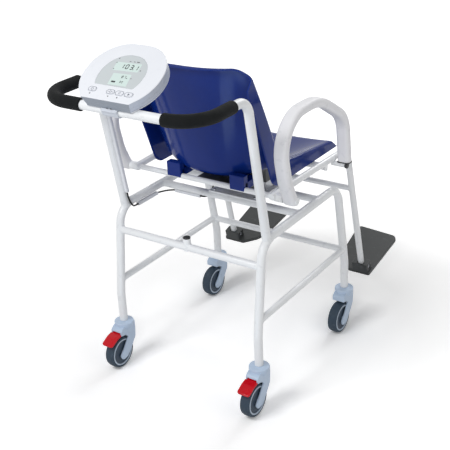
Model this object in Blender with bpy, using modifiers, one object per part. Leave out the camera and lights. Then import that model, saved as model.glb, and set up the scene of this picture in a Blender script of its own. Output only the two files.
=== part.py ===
"""A digital chair scale: a wheeled tube frame with a moulded seat hung on a load cell.

Metres, +Z up. The sitter faces +Y, and the push handle and its display are at -Y.
The frame's origin is on the floor, under the middle of the whole object's box.
Run with: blender --background --python part.py
"""
import math

import bmesh
import bpy
from mathutils import Matrix, Vector

# Driving dimensions of the wheeled frame.
TRACK = 0.487               # between the two side frames, tube axis to tube axis
WHEELBASE = 0.510           # between the front and rear castor stems
FRAME_TUBE = 0.025          # side frames and push handle
RAIL_Z = 0.509              # the side frames' top rails
KINK_Z = 0.235              # where the legs start to lean inwards
REAR_LEAN = 0.034           # how far the rear legs lean forwards at the rail
FRONT_LEAN = 0.051          # how far the front legs lean back at the rail
CORNER_BEND = 0.060         # bend radius at the rail's two ends
KINK_BEND = 0.080           # bend radius at the kinks

# Driving dimensions of the push handle.
HANDLE_Z = 0.917
HANDLE_SETBACK = 0.024      # from the rails' rear bend to where the uprights stand
HANDLE_FOOT_Y = REAR_LEAN - WHEELBASE / 2 + HANDLE_SETBACK
HANDLE_SLOPE = 0.178        # how far the uprights lean back for each metre up
HANDLE_REAR_Y = -0.480
HANDLE_TOP_BEND = 0.045
HANDLE_CORNER_BEND = 0.088

# Driving dimensions of the seat frame, which only the load cell holds.
SEAT_TUBE = 0.020
SEAT_RISE = 0.102           # the seat rails' axes above the side frames' rails
SEAT_RAIL_Z = RAIL_Z + SEAT_RISE
SEAT_RAIL_REAR_X = 0.232
SEAT_RAIL_FRONT_X = 0.2445
SEAT_RAIL_REAR_Y = -0.152
SEAT_BEND_Y = 0.261         # where the rail's axis would meet the foot tube's
SEAT_BEND = 0.050
FOOT_SLOPE = 0.243          # how far the foot tubes run forwards for each metre down
FOOT_PIN_X = 0.248
FOOT_PIN_Z = 0.1718

# Driving dimensions of the castors.
WHEEL_D = 0.100
WHEEL_W = 0.030
TRAIL = 0.035               # the axle sits this far behind the swivel stem
COLLAR_D = 0.059
COLLAR_TOP = 0.144

# Fits and fineness.
GAP = 0.0003                # between pieces that touch
RUNNING = 0.0010            # beside pieces that turn
OVERRUN = 0.004             # how far a cutter passes the face that it leaves by
ROUND_SIDES = 24
ARC_STEP = math.radians(20)

HALF_TRACK = TRACK / 2
HALF_BASE = WHEELBASE / 2
SIDES = (("left", -1), ("right", 1))

# Outline planes: a side view (y, z) spread along X, and a plan view left as it is.
SIDE_VIEW = Matrix(((0, 0, 1, 0), (1, 0, 0, 0), (0, 1, 0, 0), (0, 0, 0, 1)))
PLAN_VIEW = Matrix.Identity(4)

for old in list(bpy.data.objects):
    bpy.data.objects.remove(old, do_unlink=True)
PARTS = bpy.data.collections.new("chair_scale")
CUTTERS = bpy.data.collections.new("cutters")
for collection in (PARTS, CUTTERS):
    bpy.context.scene.collection.children.link(collection)


def material(name, colour, roughness, metallic=0.0):
    """A Principled material."""
    made = bpy.data.materials.new(name)
    made.use_nodes = True
    shader = made.node_tree.nodes["Principled BSDF"]
    shader.inputs["Base Color"].default_value = (*colour, 1.0)
    shader.inputs["Roughness"].default_value = roughness
    shader.inputs["Metallic"].default_value = metallic
    return made


WHITE_PAINT = ((0.83, 0.84, 0.87), 0.35)
GREY_PLASTIC = ((0.33, 0.42, 0.51), 0.45)
DARK_PLASTIC = ((0.035, 0.042, 0.042), 0.55)
ARM_GREY = ((0.62, 0.64, 0.67), 0.55)
RIM_PLASTIC = ((0.45, 0.52, 0.60), 0.40)
TYRE_RUBBER = ((0.045, 0.070, 0.105), 0.70)
BLACK_RUBBER = ((0.012, 0.013, 0.015), 0.75)
FOAM = ((0.016, 0.018, 0.021), 0.85)
RED_PLASTIC = ((0.60, 0.010, 0.022), 0.35)
SHELL_PLASTIC = ((0.018, 0.036, 0.200), 0.22)
HEAD_WHITE = ((0.88, 0.90, 0.93), 0.40)
HEAD_GREY = ((0.28, 0.33, 0.40), 0.45)
WINDOW_FILM = ((0.58, 0.63, 0.64), 0.18)
KEY_GREY = ((0.50, 0.55, 0.60), 0.40)
BOARD_GREEN = ((0.02, 0.16, 0.07), 0.50)
BATTERY_BLUE = ((0.02, 0.06, 0.25), 0.45)
BARE_STEEL = ((0.55, 0.56, 0.58), 0.30, 1.0)
ALUMINIUM = ((0.40, 0.41, 0.42), 0.35, 1.0)
BLACK_STEEL = ((0.020, 0.024, 0.024), 0.45, 0.6)


def cleaned(mesh):
    """Weld a mesh's doubled points and turn its faces outwards."""
    weld = 1e-6
    work = bmesh.new()
    work.from_mesh(mesh)
    bmesh.ops.remove_doubles(work, verts=work.verts, dist=weld)
    bmesh.ops.recalc_face_normals(work, faces=work.faces)
    work.to_mesh(mesh)
    work.free()
    return mesh


def baked(obj):
    """The object with its modifiers worked into its mesh."""
    graph = bpy.context.evaluated_depsgraph_get()
    mesh = bpy.data.meshes.new_from_object(obj.evaluated_get(graph))
    obj.modifiers.clear()
    obj.data = mesh
    return obj


def new_object(name, data):
    """An object in the cutters' collection, where pieces stay until they are finished."""
    obj = bpy.data.objects.new(name, data)
    CUTTERS.objects.link(obj)
    obj.hide_render = True
    obj.display_type = "WIRE"
    return obj


def from_curve(name, curve):
    """A mesh object made from a curve, with its caps welded on."""
    shape = new_object(name + "_curve", curve)
    graph = bpy.context.evaluated_depsgraph_get()
    mesh = bpy.data.meshes.new_from_object(shape.evaluated_get(graph))
    bpy.data.objects.remove(shape, do_unlink=True)
    return new_object(name, cleaned(mesh))


def polyline(name, dimensions, points, cyclic):
    """Curve data holding one spline of straight steps."""
    curve = bpy.data.curves.new(name, "CURVE")
    curve.dimensions = dimensions
    curve.render_resolution_u = 0
    spline = curve.splines.new("POLY")
    spline.points.add(len(points) - 1)
    for place, point in zip(spline.points, points):
        place.co = (*Vector(point).to_3d(), 1.0)
    spline.use_cyclic_u = cyclic
    return curve


def rounded(corners, arc_steps=0):
    """Points along straight runs whose corners, each a (point, radius), are arcs.

    Without a number of steps for every arc, a step is at most ARC_STEP.
    """
    points = [Vector(point) for point, radius in corners]
    path = [points[0]]
    for before, here, after, radius in zip(points, points[1:], points[2:],
                                           [radius for point, radius in corners[1:]]):
        back = (before - here).normalized()
        ahead = (after - here).normalized()
        turn = math.pi - back.angle(ahead)
        if radius <= 0 or turn <= 0:
            path.append(here)
            continue
        centre = here + (back + ahead).normalized() * (radius / math.cos(turn / 2))
        start = here + back * (radius * math.tan(turn / 2)) - centre
        across = -back * radius
        steps = arc_steps or max(1, math.ceil(turn / ARC_STEP))
        for step in range(steps + 1):
            angle = turn * step / steps
            path.append(centre + start * math.cos(angle) + across * math.sin(angle))
    path.append(points[-1])
    return path


def closed_outline(corners, arc_steps=0):
    """A closed outline of (point, radius) corners with its corners rounded."""
    ring = [corners[-1]] + list(corners) + [corners[0]]
    return rounded(ring, arc_steps)[1:-1]


def tube(name, path, diameter, sides=16):
    """A round bar along a path."""
    curve = polyline(name, "3D", path, False)
    curve.bevel_depth = diameter / 2
    curve.bevel_resolution = (sides - 4) // 2
    curve.use_fill_caps = True
    return from_curve(name, curve)


def rod(name, start, end, diameter, sides=ROUND_SIDES):
    """A straight cylinder between two points."""
    start = Vector(start)
    along = Vector(end) - start
    mesh = bpy.data.meshes.new(name)
    work = bmesh.new()
    turn = along.to_track_quat("Z", "Y").to_matrix().to_4x4()
    bmesh.ops.create_cone(work, cap_ends=True, segments=sides, radius1=diameter / 2,
                          radius2=diameter / 2, depth=along.length,
                          matrix=Matrix.Translation(start + along / 2) @ turn)
    work.to_mesh(mesh)
    work.free()
    return new_object(name, mesh)


def box(name, low, high):
    """A box between two corners."""
    low, high = Vector(low), Vector(high)
    mesh = bpy.data.meshes.new(name)
    work = bmesh.new()
    bmesh.ops.create_cube(work, size=1.0, matrix=Matrix.Translation((low + high) / 2)
                          @ Matrix.Diagonal((*(high - low), 1.0)))
    work.to_mesh(mesh)
    work.free()
    return new_object(name, mesh)


def ball(name, centre, diameter):
    """A sphere."""
    mesh = bpy.data.meshes.new(name)
    work = bmesh.new()
    bmesh.ops.create_uvsphere(work, u_segments=16, v_segments=8, radius=diameter / 2,
                              matrix=Matrix.Translation(centre))
    work.to_mesh(mesh)
    work.free()
    return new_object(name, mesh)


def prism(name, outline, thickness, middle, view=PLAN_VIEW):
    """A flat outline spread both ways from the plane at the height called middle."""
    curve = polyline(name, "2D", outline, True)
    curve.fill_mode = "BOTH"
    curve.extrude = thickness / 2
    obj = from_curve(name, curve)
    obj.data.transform(view @ Matrix.Translation((0, 0, middle)))
    return obj


def turned(name, profile, place, sides=ROUND_SIDES):
    """A closed profile of (radius, height) points turned about the place's Z axis."""
    mesh = bpy.data.meshes.new(name)
    count = len(profile)
    mesh.from_pydata([(radius, 0, height) for radius, height in profile],
                     [(n, (n + 1) % count) for n in range(count)], [])
    obj = new_object(name, mesh)
    screw = obj.modifiers.new("turn", "SCREW")
    screw.steps = screw.render_steps = sides
    screw.use_merge_vertices = True
    screw.merge_threshold = 1e-5
    baked(obj)
    cleaned(obj.data)
    obj.data.transform(place)
    return obj


def edged(obj, width, segments=2):
    """The object with its sharp edges rounded."""
    bevel = obj.modifiers.new("edges", "BEVEL")
    bevel.width = width
    bevel.segments = segments
    bevel.limit_method = "ANGLE"
    bevel.angle_limit = math.radians(40)
    return baked(obj)


def combined(target, tools, operation):
    """Join the tools to the target, or cut them out of it."""
    for tool in tools:
        boolean = target.modifiers.new("boolean", "BOOLEAN")
        boolean.operation = operation
        boolean.solver = "EXACT"
        boolean.object = tool
        baked(target)
        bpy.data.objects.remove(tool, do_unlink=True)
    return target


def joined(target, *tools):
    """One body made from several."""
    return combined(target, tools, "UNION")


def cut(target, *tools):
    """The target with the tools cut out of it."""
    return combined(target, tools, "DIFFERENCE")


def clear_of(diameter, sides=ROUND_SIDES, gap=GAP):
    """The diameter of a faceted cutter that clears a round bar by a gap all round."""
    return (diameter + 2 * gap) / math.cos(math.pi / sides)


def bore(start, end, diameter, gap=GAP):
    """A cutter for a hole, or a coped end, that clears a round bar."""
    return rod("bore", start, end, clear_of(diameter, gap=gap))


def finished(obj, look, origin=(0, 0, 0), place=None):
    """Move a piece to the parts, with its material, its origin and its final place."""
    obj.data.transform(Matrix.Translation(-Vector(origin)))
    obj.data.materials.clear()
    obj.data.materials.append(material(obj.name, *look))
    obj.data.shade_smooth()
    obj.data.set_sharp_from_angle(angle=math.radians(35))
    obj.matrix_world = (place or Matrix.Identity(4)) @ Matrix.Translation(origin)
    CUTTERS.objects.unlink(obj)
    PARTS.objects.link(obj)
    obj.hide_render = False
    obj.display_type = "TEXTURED"
    return obj


# Where the tubes of the wheeled frame run.
LEG_FOOT_Z = COLLAR_TOP + GAP
HANDLE_TOP_Y = HANDLE_FOOT_Y - HANDLE_SLOPE * (HANDLE_Z - RAIL_Z)


def side_frame_path(x):
    """The bent tube of one side: rear leg, top rail, front leg."""
    return rounded([((x, -HALF_BASE, LEG_FOOT_Z), 0), ((x, -HALF_BASE, KINK_Z), KINK_BEND),
                    ((x, REAR_LEAN - HALF_BASE, RAIL_Z), CORNER_BEND),
                    ((x, HALF_BASE - FRONT_LEAN, RAIL_Z), CORNER_BEND),
                    ((x, HALF_BASE, KINK_Z), KINK_BEND), ((x, HALF_BASE, LEG_FOOT_Z), 0)])


def rear_leg(x, z):
    """A point on the axis of a rear leg's leaning part."""
    return Vector((x, REAR_LEAN * (z - KINK_Z) / (RAIL_Z - KINK_Z) - HALF_BASE, z))


def front_leg(x, z):
    """A point on the axis of a front leg's leaning part."""
    return Vector((x, HALF_BASE - FRONT_LEAN * (z - KINK_Z) / (RAIL_Z - KINK_Z), z))


STEM_D = 0.011              # the castor's stem in the leg's foot
STEM_LENGTH = 0.032


def side_frames():
    """Each side is one bent tube, bored at both feet for the castor stems."""
    for side, sign in SIDES:
        x = sign * HALF_TRACK
        frame = tube("side_frame_" + side, side_frame_path(x), FRAME_TUBE)
        for y in (-HALF_BASE, HALF_BASE):
            cut(frame, bore((x, y, LEG_FOOT_Z - OVERRUN),
                            (x, y, LEG_FOOT_Z + STEM_LENGTH + GAP), STEM_D))
        finished(frame, WHITE_PAINT)


# The cross tubes between the two side frames.
REAR_BAR_Y = -0.018
REAR_BAR_D = 0.022
FRONT_BAR_Y = 0.092
FRONT_BAR_D = 0.022
LOW_REAR_Z = 0.440
LOW_REAR_D = 0.022
LOW_FRONT_Z = 0.279
LOW_FRONT_D = 0.020
STRETCHER_Z = 0.281
STRETCHER_D = 0.020
SOCKET_D = 0.022            # short upright tube for a pole, in the lower rear crossbar
SOCKET_TOP = 0.468
SOCKET_DROP = 0.010         # how far it reaches below the crossbar's axis
PLUG_RIM = 0.004
PLUG_DEPTH = 0.012
PLUG_BODY_D = 0.017


def between_sides(name, y, z, diameter):
    """A straight tube from one side frame's axis to the other's."""
    return rod(name, (-HALF_TRACK, y, z), (HALF_TRACK, y, z), diameter)


def coped_by_frames(bar):
    """Cut a bar's two ends to lie round the side frames' tubes."""
    size = clear_of(FRAME_TUBE, 16)
    return cut(bar, *[tube("cope", side_frame_path(sign * HALF_TRACK), size)
                      for side, sign in SIDES])


def cross_tubes():
    """The tubes that tie the two side frames together."""
    for name, y, diameter in (("upper_crossbar_rear", REAR_BAR_Y, REAR_BAR_D),
                              ("upper_crossbar_front", FRONT_BAR_Y, FRONT_BAR_D)):
        finished(coped_by_frames(between_sides(name, y, RAIL_Z, diameter)), WHITE_PAINT)
    y = rear_leg(0, LOW_REAR_Z).y
    low = coped_by_frames(between_sides("lower_crossbar_rear", y, LOW_REAR_Z, LOW_REAR_D))
    joined(low, rod("socket", (0, y, LOW_REAR_Z - SOCKET_DROP), (0, y, SOCKET_TOP), SOCKET_D))
    cut(low, bore((0, y, SOCKET_TOP - PLUG_DEPTH - GAP), (0, y, SOCKET_TOP + OVERRUN),
                  PLUG_BODY_D))
    finished(low, WHITE_PAINT)
    plug = rod("socket_plug", (0, y, SOCKET_TOP - PLUG_DEPTH), (0, y, SOCKET_TOP + PLUG_RIM),
               PLUG_BODY_D)
    joined(plug, rod("rim", (0, y, SOCKET_TOP + GAP), (0, y, SOCKET_TOP + PLUG_RIM), SOCKET_D))
    finished(plug, BLACK_RUBBER)
    y = front_leg(0, LOW_FRONT_Z).y
    finished(coped_by_frames(between_sides("lower_crossbar_front", y, LOW_FRONT_Z,
                                           LOW_FRONT_D)), WHITE_PAINT)
    for side, sign in SIDES:
        x = sign * HALF_TRACK
        bar = rod("stretcher_" + side, rear_leg(x, STRETCHER_Z), front_leg(x, STRETCHER_Z),
                  STRETCHER_D)
        cut(bar, tube("cope", side_frame_path(x), clear_of(FRAME_TUBE, 16)),
            bore((-HALF_TRACK, y, LOW_FRONT_Z), (HALF_TRACK, y, LOW_FRONT_Z), LOW_FRONT_D))
        finished(bar, WHITE_PAINT)


# The push handle's foam grips.
GRIP_D = 0.034
GRIP_SIDES = 20
GRIP_FRONT_Y = -0.330
GRIP_END_LEFT_X = -0.100
GRIP_END_RIGHT_X = 0.149


def push_handle():
    """One bent tube from rail to rail, round the back of the seat."""
    corners = []
    for sign in (1, -1):
        x = sign * HALF_TRACK
        foot = ((x, HANDLE_FOOT_Y, RAIL_Z - FRAME_TUBE / 3), 0)
        top = ((x, HANDLE_TOP_Y, HANDLE_Z), HANDLE_TOP_BEND)
        corner = ((x, HANDLE_REAR_Y, HANDLE_Z), HANDLE_CORNER_BEND)
        corners += [foot, top, corner] if sign > 0 else [corner, top, foot]
    handle = tube("push_handle", rounded(corners), FRAME_TUBE)
    finished(coped_by_frames(handle), WHITE_PAINT)


def grips():
    """Foam sleeves round the handle's two rear corners."""
    for side, sign, end_x in (("left", -1, GRIP_END_LEFT_X), ("right", 1, GRIP_END_RIGHT_X)):
        x = sign * HALF_TRACK
        corner = ((x, HANDLE_REAR_Y, HANDLE_Z), HANDLE_CORNER_BEND)
        sleeve = tube("grip_" + side, rounded([((x, GRIP_FRONT_Y, HANDLE_Z), 0), corner,
                                               ((end_x, HANDLE_REAR_Y, HANDLE_Z), 0)]), GRIP_D)
        hole = tube("hole", rounded([((x, GRIP_FRONT_Y + OVERRUN, HANDLE_Z), 0), corner,
                                     ((end_x - sign * OVERRUN, HANDLE_REAR_Y, HANDLE_Z), 0)]),
                    clear_of(FRAME_TUBE, GRIP_SIDES), GRIP_SIDES)
        finished(cut(sleeve, hole), FOAM)


# The seat frame's rails and bars, and the pivots that the armrests turn on.
PIVOT_Y = -0.134
PIVOT_DROP = 0.005          # this and the next two are below the seat rails' axes
SEAT_BAR_FRONT_DROP = 0.017
ARM_STOP_DROP = 0.014
PIVOT_Z = SEAT_RAIL_Z - PIVOT_DROP
SEAT_BAR_REAR_D = 0.016
SEAT_BAR_FRONT_Y = 0.140
SEAT_BAR_FRONT_Z = SEAT_RAIL_Z - SEAT_BAR_FRONT_DROP
SEAT_BAR_FRONT_D = 0.020
FOOT_BAR_Z = 0.468
FOOT_BAR_D = 0.018
FOOT_PIN_D = 0.008
ARM_REACH = 0.310           # from the pivot's axis to the middle of the armrest's front foot
ARM_STOP_BACK = 0.005       # the stop's axis behind the middle of that foot
ARM_STOP_Y = PIVOT_Y + ARM_REACH - ARM_STOP_BACK
ARM_STOP_Z = SEAT_RAIL_Z - ARM_STOP_DROP
ARM_STOP_D = 0.015
ARM_STOP_END_X = 0.292

FOOT_PIN_Y = SEAT_BEND_Y + FOOT_SLOPE * (SEAT_RAIL_Z - FOOT_PIN_Z)


def seat_rail_x(y):
    """Half the width between the two seat rails' axes."""
    share = (y - SEAT_RAIL_REAR_Y) / (SEAT_BEND_Y - SEAT_RAIL_REAR_Y)
    return SEAT_RAIL_REAR_X + (SEAT_RAIL_FRONT_X - SEAT_RAIL_REAR_X) * share


def seat_rail_path(sign):
    """The bent tube of one side: seat rail, then foot tube."""
    return rounded([((sign * SEAT_RAIL_REAR_X, SEAT_RAIL_REAR_Y, SEAT_RAIL_Z), 0),
                    ((sign * SEAT_RAIL_FRONT_X, SEAT_BEND_Y, SEAT_RAIL_Z), SEAT_BEND),
                    ((sign * FOOT_PIN_X, FOOT_PIN_Y, FOOT_PIN_Z), 0)])


def foot_tube(sign, z):
    """A point on a foot tube's axis."""
    share = (SEAT_RAIL_Z - z) / (SEAT_RAIL_Z - FOOT_PIN_Z)
    x = SEAT_RAIL_FRONT_X + (FOOT_PIN_X - SEAT_RAIL_FRONT_X) * share
    return Vector((sign * x, SEAT_BEND_Y + FOOT_SLOPE * (SEAT_RAIL_Z - z), z))


def seat_rails():
    """Each side is one bent tube with a stop for the armrest and a domed foot."""
    for side, sign in SIDES:
        rail = tube("seat_rail_" + side, seat_rail_path(sign), SEAT_TUBE)
        pin = Vector((sign * FOOT_PIN_X, FOOT_PIN_Y, FOOT_PIN_Z))
        stop_x = sign * seat_rail_x(ARM_STOP_Y)
        joined(rail, ball("dome", pin, SEAT_TUBE),
               rod("stop", (stop_x, ARM_STOP_Y, ARM_STOP_Z),
                   (sign * ARM_STOP_END_X, ARM_STOP_Y, ARM_STOP_Z), ARM_STOP_D))
        reach = Vector((SEAT_TUBE, 0, 0))
        cut(rail, bore(pin - reach, pin + reach, FOOT_PIN_D))
        finished(rail, WHITE_PAINT)


def coped_by_seat_rails(bar):
    """Cut a bar's two ends to lie round the seat frame's bent tubes."""
    size = clear_of(SEAT_TUBE, 16)
    return cut(bar, *[tube("cope", seat_rail_path(sign), size) for side, sign in SIDES])


def seat_bars():
    """The three cross tubes of the seat frame."""
    for name, y, z, diameter in (
            ("seat_bar_rear", PIVOT_Y, PIVOT_Z, SEAT_BAR_REAR_D),
            ("seat_bar_front", SEAT_BAR_FRONT_Y, SEAT_BAR_FRONT_Z, SEAT_BAR_FRONT_D)):
        x = seat_rail_x(y)
        finished(coped_by_seat_rails(rod(name, (-x, y, z), (x, y, z), diameter)), WHITE_PAINT)
    ends = [foot_tube(sign, FOOT_BAR_Z) for side, sign in SIDES]
    finished(coped_by_seat_rails(rod("foot_crossbar", *ends, FOOT_BAR_D)), WHITE_PAINT)


# The armrests: a padded loop on each side that swings up and back about the rear bar's line.
ARM_X = 0.281
ARM_W = 0.040
ARM_T = 0.027
ARM_EYE_D = 0.030
ARM_RISE = 0.2355           # from the pivot's axis to the loop's middle line at the top
ARM_EDGE = 0.010
SLEEVE_D = 0.025
ARM_PIN_D = 0.012
ARM_HEAD_D = 0.019
ARM_HEAD_T = 0.004
PAD_T = 0.0025
PAD_LOBE_D = 0.022
PAD_LOBE_W = 0.008

# The loop's corners, from rear knee to nose: shares of reach forwards, of rise up, and the
# bend radius as a share of the bend measure, which shrinks with the reach and with the rise.
ARM_SHARES = ((-0.084, 0.250, 0.739), (-0.213, 1.0, 0.739), (0.471, 1.0, 1.408),
              (0.948, 0.611, 0.704))
ARM_BEND_MEASURE = ARM_REACH * ARM_RISE / (ARM_REACH + ARM_RISE)

ARM_FOOT_Y = PIVOT_Y + ARM_REACH
ARM_FOOT_Z = ARM_STOP_Z + ARM_STOP_D / 2 + GAP + PAD_T + GAP


def offset_path(path, distance):
    """A flat path moved sideways by a distance."""
    moved = []
    for number, point in enumerate(path):
        ahead = path[min(number + 1, len(path) - 1)] - path[max(number - 1, 0)]
        moved.append(point + Vector((-ahead.y, ahead.x)).normalized() * distance)
    return moved


def armrests():
    """Each armrest is a soft-edged loop bored at its rear foot."""
    corners = [((PIVOT_Y + ARM_REACH * forwards, PIVOT_Z + ARM_RISE * up),
                ARM_BEND_MEASURE * bend) for forwards, up, bend in ARM_SHARES]
    path = rounded([((PIVOT_Y, PIVOT_Z), 0), *corners, ((ARM_FOOT_Y, ARM_FOOT_Z), 0)])
    loop = offset_path(path, ARM_T / 2) + offset_path(path, -ARM_T / 2)[::-1]
    for side, sign in SIDES:
        x = sign * ARM_X
        arm = prism("armrest_" + side, loop, ARM_W, x, SIDE_VIEW)
        half = Vector((ARM_W / 2, 0, 0))
        pivot = Vector((x, PIVOT_Y, PIVOT_Z))
        joined(arm, rod("eye", pivot - half, pivot + half, ARM_EYE_D))
        below = box("below", (x - ARM_W, ARM_FOOT_Y - ARM_W, ARM_FOOT_Z - ARM_W),
                    (x + ARM_W, ARM_FOOT_Y + ARM_W, ARM_FOOT_Z))
        cut(arm, below)
        edged(arm, ARM_EDGE)
        cut(arm, bore(pivot - 2 * half, pivot + 2 * half, ARM_PIN_D))
        finished(arm, ARM_GREY, pivot)


def arm_pivots():
    """Each pivot is a sleeve on the seat rail, a pin through the armrest and a bolt head."""
    for side, sign in SIDES:
        def at(x):
            return Vector((sign * x, PIVOT_Y, PIVOT_Z))
        inner, outer = ARM_X - ARM_W / 2 - GAP, ARM_X + ARM_W / 2 + GAP
        pivot = rod("arm_pivot_" + side, at(seat_rail_x(PIVOT_Y)), at(inner), SLEEVE_D)
        joined(pivot, rod("pin", at(inner - ARM_PIN_D), at(outer + ARM_HEAD_T / 2), ARM_PIN_D),
               rod("head", at(outer), at(outer + ARM_HEAD_T), ARM_HEAD_D))
        finished(coped_by_seat_rails(pivot), WHITE_PAINT)


def stop_pads():
    """A thin rubber pad under each armrest's front foot, with a lobe round the stop's end."""
    for side, sign in SIDES:
        top = ARM_STOP_Z + ARM_STOP_D / 2 + GAP
        lobe_start = ARM_STOP_END_X - PAD_LOBE_W + PAD_T

        def at(x, z=ARM_STOP_Z):
            return Vector((sign * x, ARM_STOP_Y, z))
        inner = min(sign * (ARM_X - ARM_W / 2), sign * (ARM_X + ARM_W / 2))
        pad = box("stop_pad_" + side, (inner, ARM_FOOT_Y - ARM_T / 2, top),
                  (inner + ARM_W, ARM_FOOT_Y + ARM_T / 2, top + PAD_T))
        joined(pad, rod("lobe", at(lobe_start), at(ARM_STOP_END_X + PAD_T), PAD_LOBE_D))
        cut(pad, bore(at(lobe_start - OVERRUN), at(ARM_STOP_END_X), ARM_STOP_D),
            box("above", at(-sign * ARM_X, top + PAD_T) - Vector((ARM_X, ARM_W, 0))
                if sign < 0 else Vector((0, ARM_STOP_Y - ARM_W, top + PAD_T)),
                Vector((0 if sign < 0 else 2 * ARM_X, ARM_STOP_Y + ARM_W, top + 2 * PAD_T))))
        finished(pad, BLACK_RUBBER)


# The load cell and what it stands on and carries.
CELL_LENGTH = 0.150
CELL_LEFT_X = -0.052
CELL_DEPTH = 0.036
CELL_HEIGHT = 0.024
CELL_STANDOFF = 0.006       # between the base plate and the cell
CELL_SEAT = 0.040           # how much of each end is bolted down
PLATE_T = 0.005
BASE_MARGIN = 0.012         # how far the base plate passes the two crossbars' axes
BASE_SIDE = 0.008           # how far it passes the cell's two ends
CARRIER_HALF_W = 0.060
CARRIER_DROP = 0.0125       # the carrier plate's middle below the seat rails' axes
CARRIER_Z = SEAT_RAIL_Z - CARRIER_DROP

CELL_MIDDLE_Y = (REAR_BAR_Y + FRONT_BAR_Y) / 2 + CELL_DEPTH / 2
BASE_TOP = RAIL_Z + max(REAR_BAR_D, FRONT_BAR_D) / 2 + GAP + PLATE_T
CELL_BOTTOM = BASE_TOP + CELL_STANDOFF


def weighing():
    """Base plate on the frame's upper crossbars, beam load cell, seat carrier above it."""
    rear, front = CELL_MIDDLE_Y - CELL_DEPTH / 2, CELL_MIDDLE_Y + CELL_DEPTH / 2
    cell_right = CELL_LEFT_X + CELL_LENGTH
    cell_top = CELL_BOTTOM + CELL_HEIGHT
    base = box("load_cell_base",
               (CELL_LEFT_X - BASE_SIDE, REAR_BAR_Y - BASE_MARGIN, BASE_TOP - PLATE_T),
               (cell_right + BASE_SIDE, FRONT_BAR_Y + BASE_MARGIN, BASE_TOP))
    joined(base, box("foot", (CELL_LEFT_X, rear, BASE_TOP - PLATE_T / 2),
                     (CELL_LEFT_X + CELL_SEAT, front, CELL_BOTTOM - GAP)))
    finished(base, WHITE_PAINT)
    cell = box("load_cell", (CELL_LEFT_X, rear, CELL_BOTTOM), (cell_right, front, cell_top))
    middle = (CELL_LEFT_X + cell_right) / 2
    height = (CELL_BOTTOM + cell_top) / 2
    hole = CELL_HEIGHT * 2 / 3
    for x in (middle - hole / 3, middle + hole / 3):
        cut(cell, rod("hole", (x, rear - OVERRUN, height), (x, front + OVERRUN, height), hole))
    finished(cell, ALUMINIUM)
    low, high = CARRIER_Z - PLATE_T / 2, CARRIER_Z + PLATE_T / 2
    carrier_middle = cell_right - CELL_SEAT / 2 - CARRIER_HALF_W
    carrier = box("seat_carrier", (carrier_middle - CARRIER_HALF_W, PIVOT_Y, low),
                  (cell_right, SEAT_BAR_FRONT_Y, high))
    joined(carrier, box("foot", (cell_right - CELL_SEAT, rear, cell_top + GAP),
                        (cell_right, front, CARRIER_Z)))
    width = HALF_TRACK
    cut(carrier, bore((-width, PIVOT_Y, PIVOT_Z), (width, PIVOT_Y, PIVOT_Z), SEAT_BAR_REAR_D),
        box("behind", (-width, PIVOT_Y - SEAT_BAR_REAR_D, low - PLATE_T),
            (width, PIVOT_Y + SEAT_BAR_REAR_D / 4, high + PLATE_T)),
        bore((-width, SEAT_BAR_FRONT_Y, SEAT_BAR_FRONT_Z),
             (width, SEAT_BAR_FRONT_Y, SEAT_BAR_FRONT_Z), SEAT_BAR_FRONT_D),
        box("ahead", (-width, SEAT_BAR_FRONT_Y - SEAT_BAR_FRONT_D / 4, low - PLATE_T),
            (width, SEAT_BAR_FRONT_Y + SEAT_BAR_FRONT_D, high + PLATE_T)))
    finished(carrier, BLACK_STEEL)


# The signal cable and the ducts that hold it against the frame.
DUCT_W = 0.011
DUCT_T = 0.009
DUCT_WALL = 0.0015
CABLE_D = 0.005
CABLE_STEPS = 56
CABLE_SIDES = 8
DUCT_TOP_Z = 0.860
DUCT_FOOT_Z = 0.553
RAIL_DUCT_Z = 0.493
RAIL_DUCT_INSET = 0.0115    # inwards from the side frame's axis
RAIL_DUCT_START = 1.1       # the duct starts this many bend radii ahead of the rail's rear bend
RAIL_DUCT_SHORT = 0.044     # and it stops this far behind the rear crossbar's axis
RAIL_DUCT_REAR_Y = REAR_LEAN - HALF_BASE + CORNER_BEND * RAIL_DUCT_START
RAIL_DUCT_FRONT_Y = REAR_BAR_Y - RAIL_DUCT_SHORT
BAR_DUCT_LEFT_X = -0.193
BAR_DUCT_RIGHT_X = -0.100

# The cable's route by hand, from the top of the upright duct to the load cell. It was measured
# with the handle's foot and the rail duct's two ends at the first three values.
ROUTE_FOOT_Y = -0.197
ROUTE_REAR_Y = -0.152
ROUTE_FRONT_Y = -0.066
CABLE_ROUTE = [(-0.2255, -0.2585, 0.855), (-0.2255, -0.2496, 0.805), (-0.2255, -0.2407, 0.755),
               (-0.2255, -0.2318, 0.705), (-0.2255, -0.2229, 0.655), (-0.2255, -0.2140, 0.605),
               (-0.2255, -0.2060, 0.560), (-0.2262, -0.2010, 0.536), (-0.2262, -0.1935, 0.516),
               (-0.2275, -0.1810, 0.4995), (-0.2315, -0.1660, 0.4935),
               (-0.2320, -0.1520, 0.4935), (-0.2320, -0.1080, 0.4935),
               (-0.2320, -0.0660, 0.4935), (-0.2290, -0.0470, 0.4915),
               (-0.2190, -0.0290, 0.4910), (-0.2050, -0.0200, 0.4920),
               (-0.1900, -0.0180, 0.4935), (-0.1450, -0.0180, 0.4935),
               (-0.1030, -0.0180, 0.4935), (-0.0900, -0.0120, 0.4915),
               (-0.0810, 0.0030, 0.4940), (-0.0780, 0.0130, 0.5080),
               (-0.0765, 0.0220, 0.5240), (-0.0740, 0.0360, 0.5380),
               (-0.0670, 0.0510, 0.5430), (-0.0529, 0.0550, 0.5433)]


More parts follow.
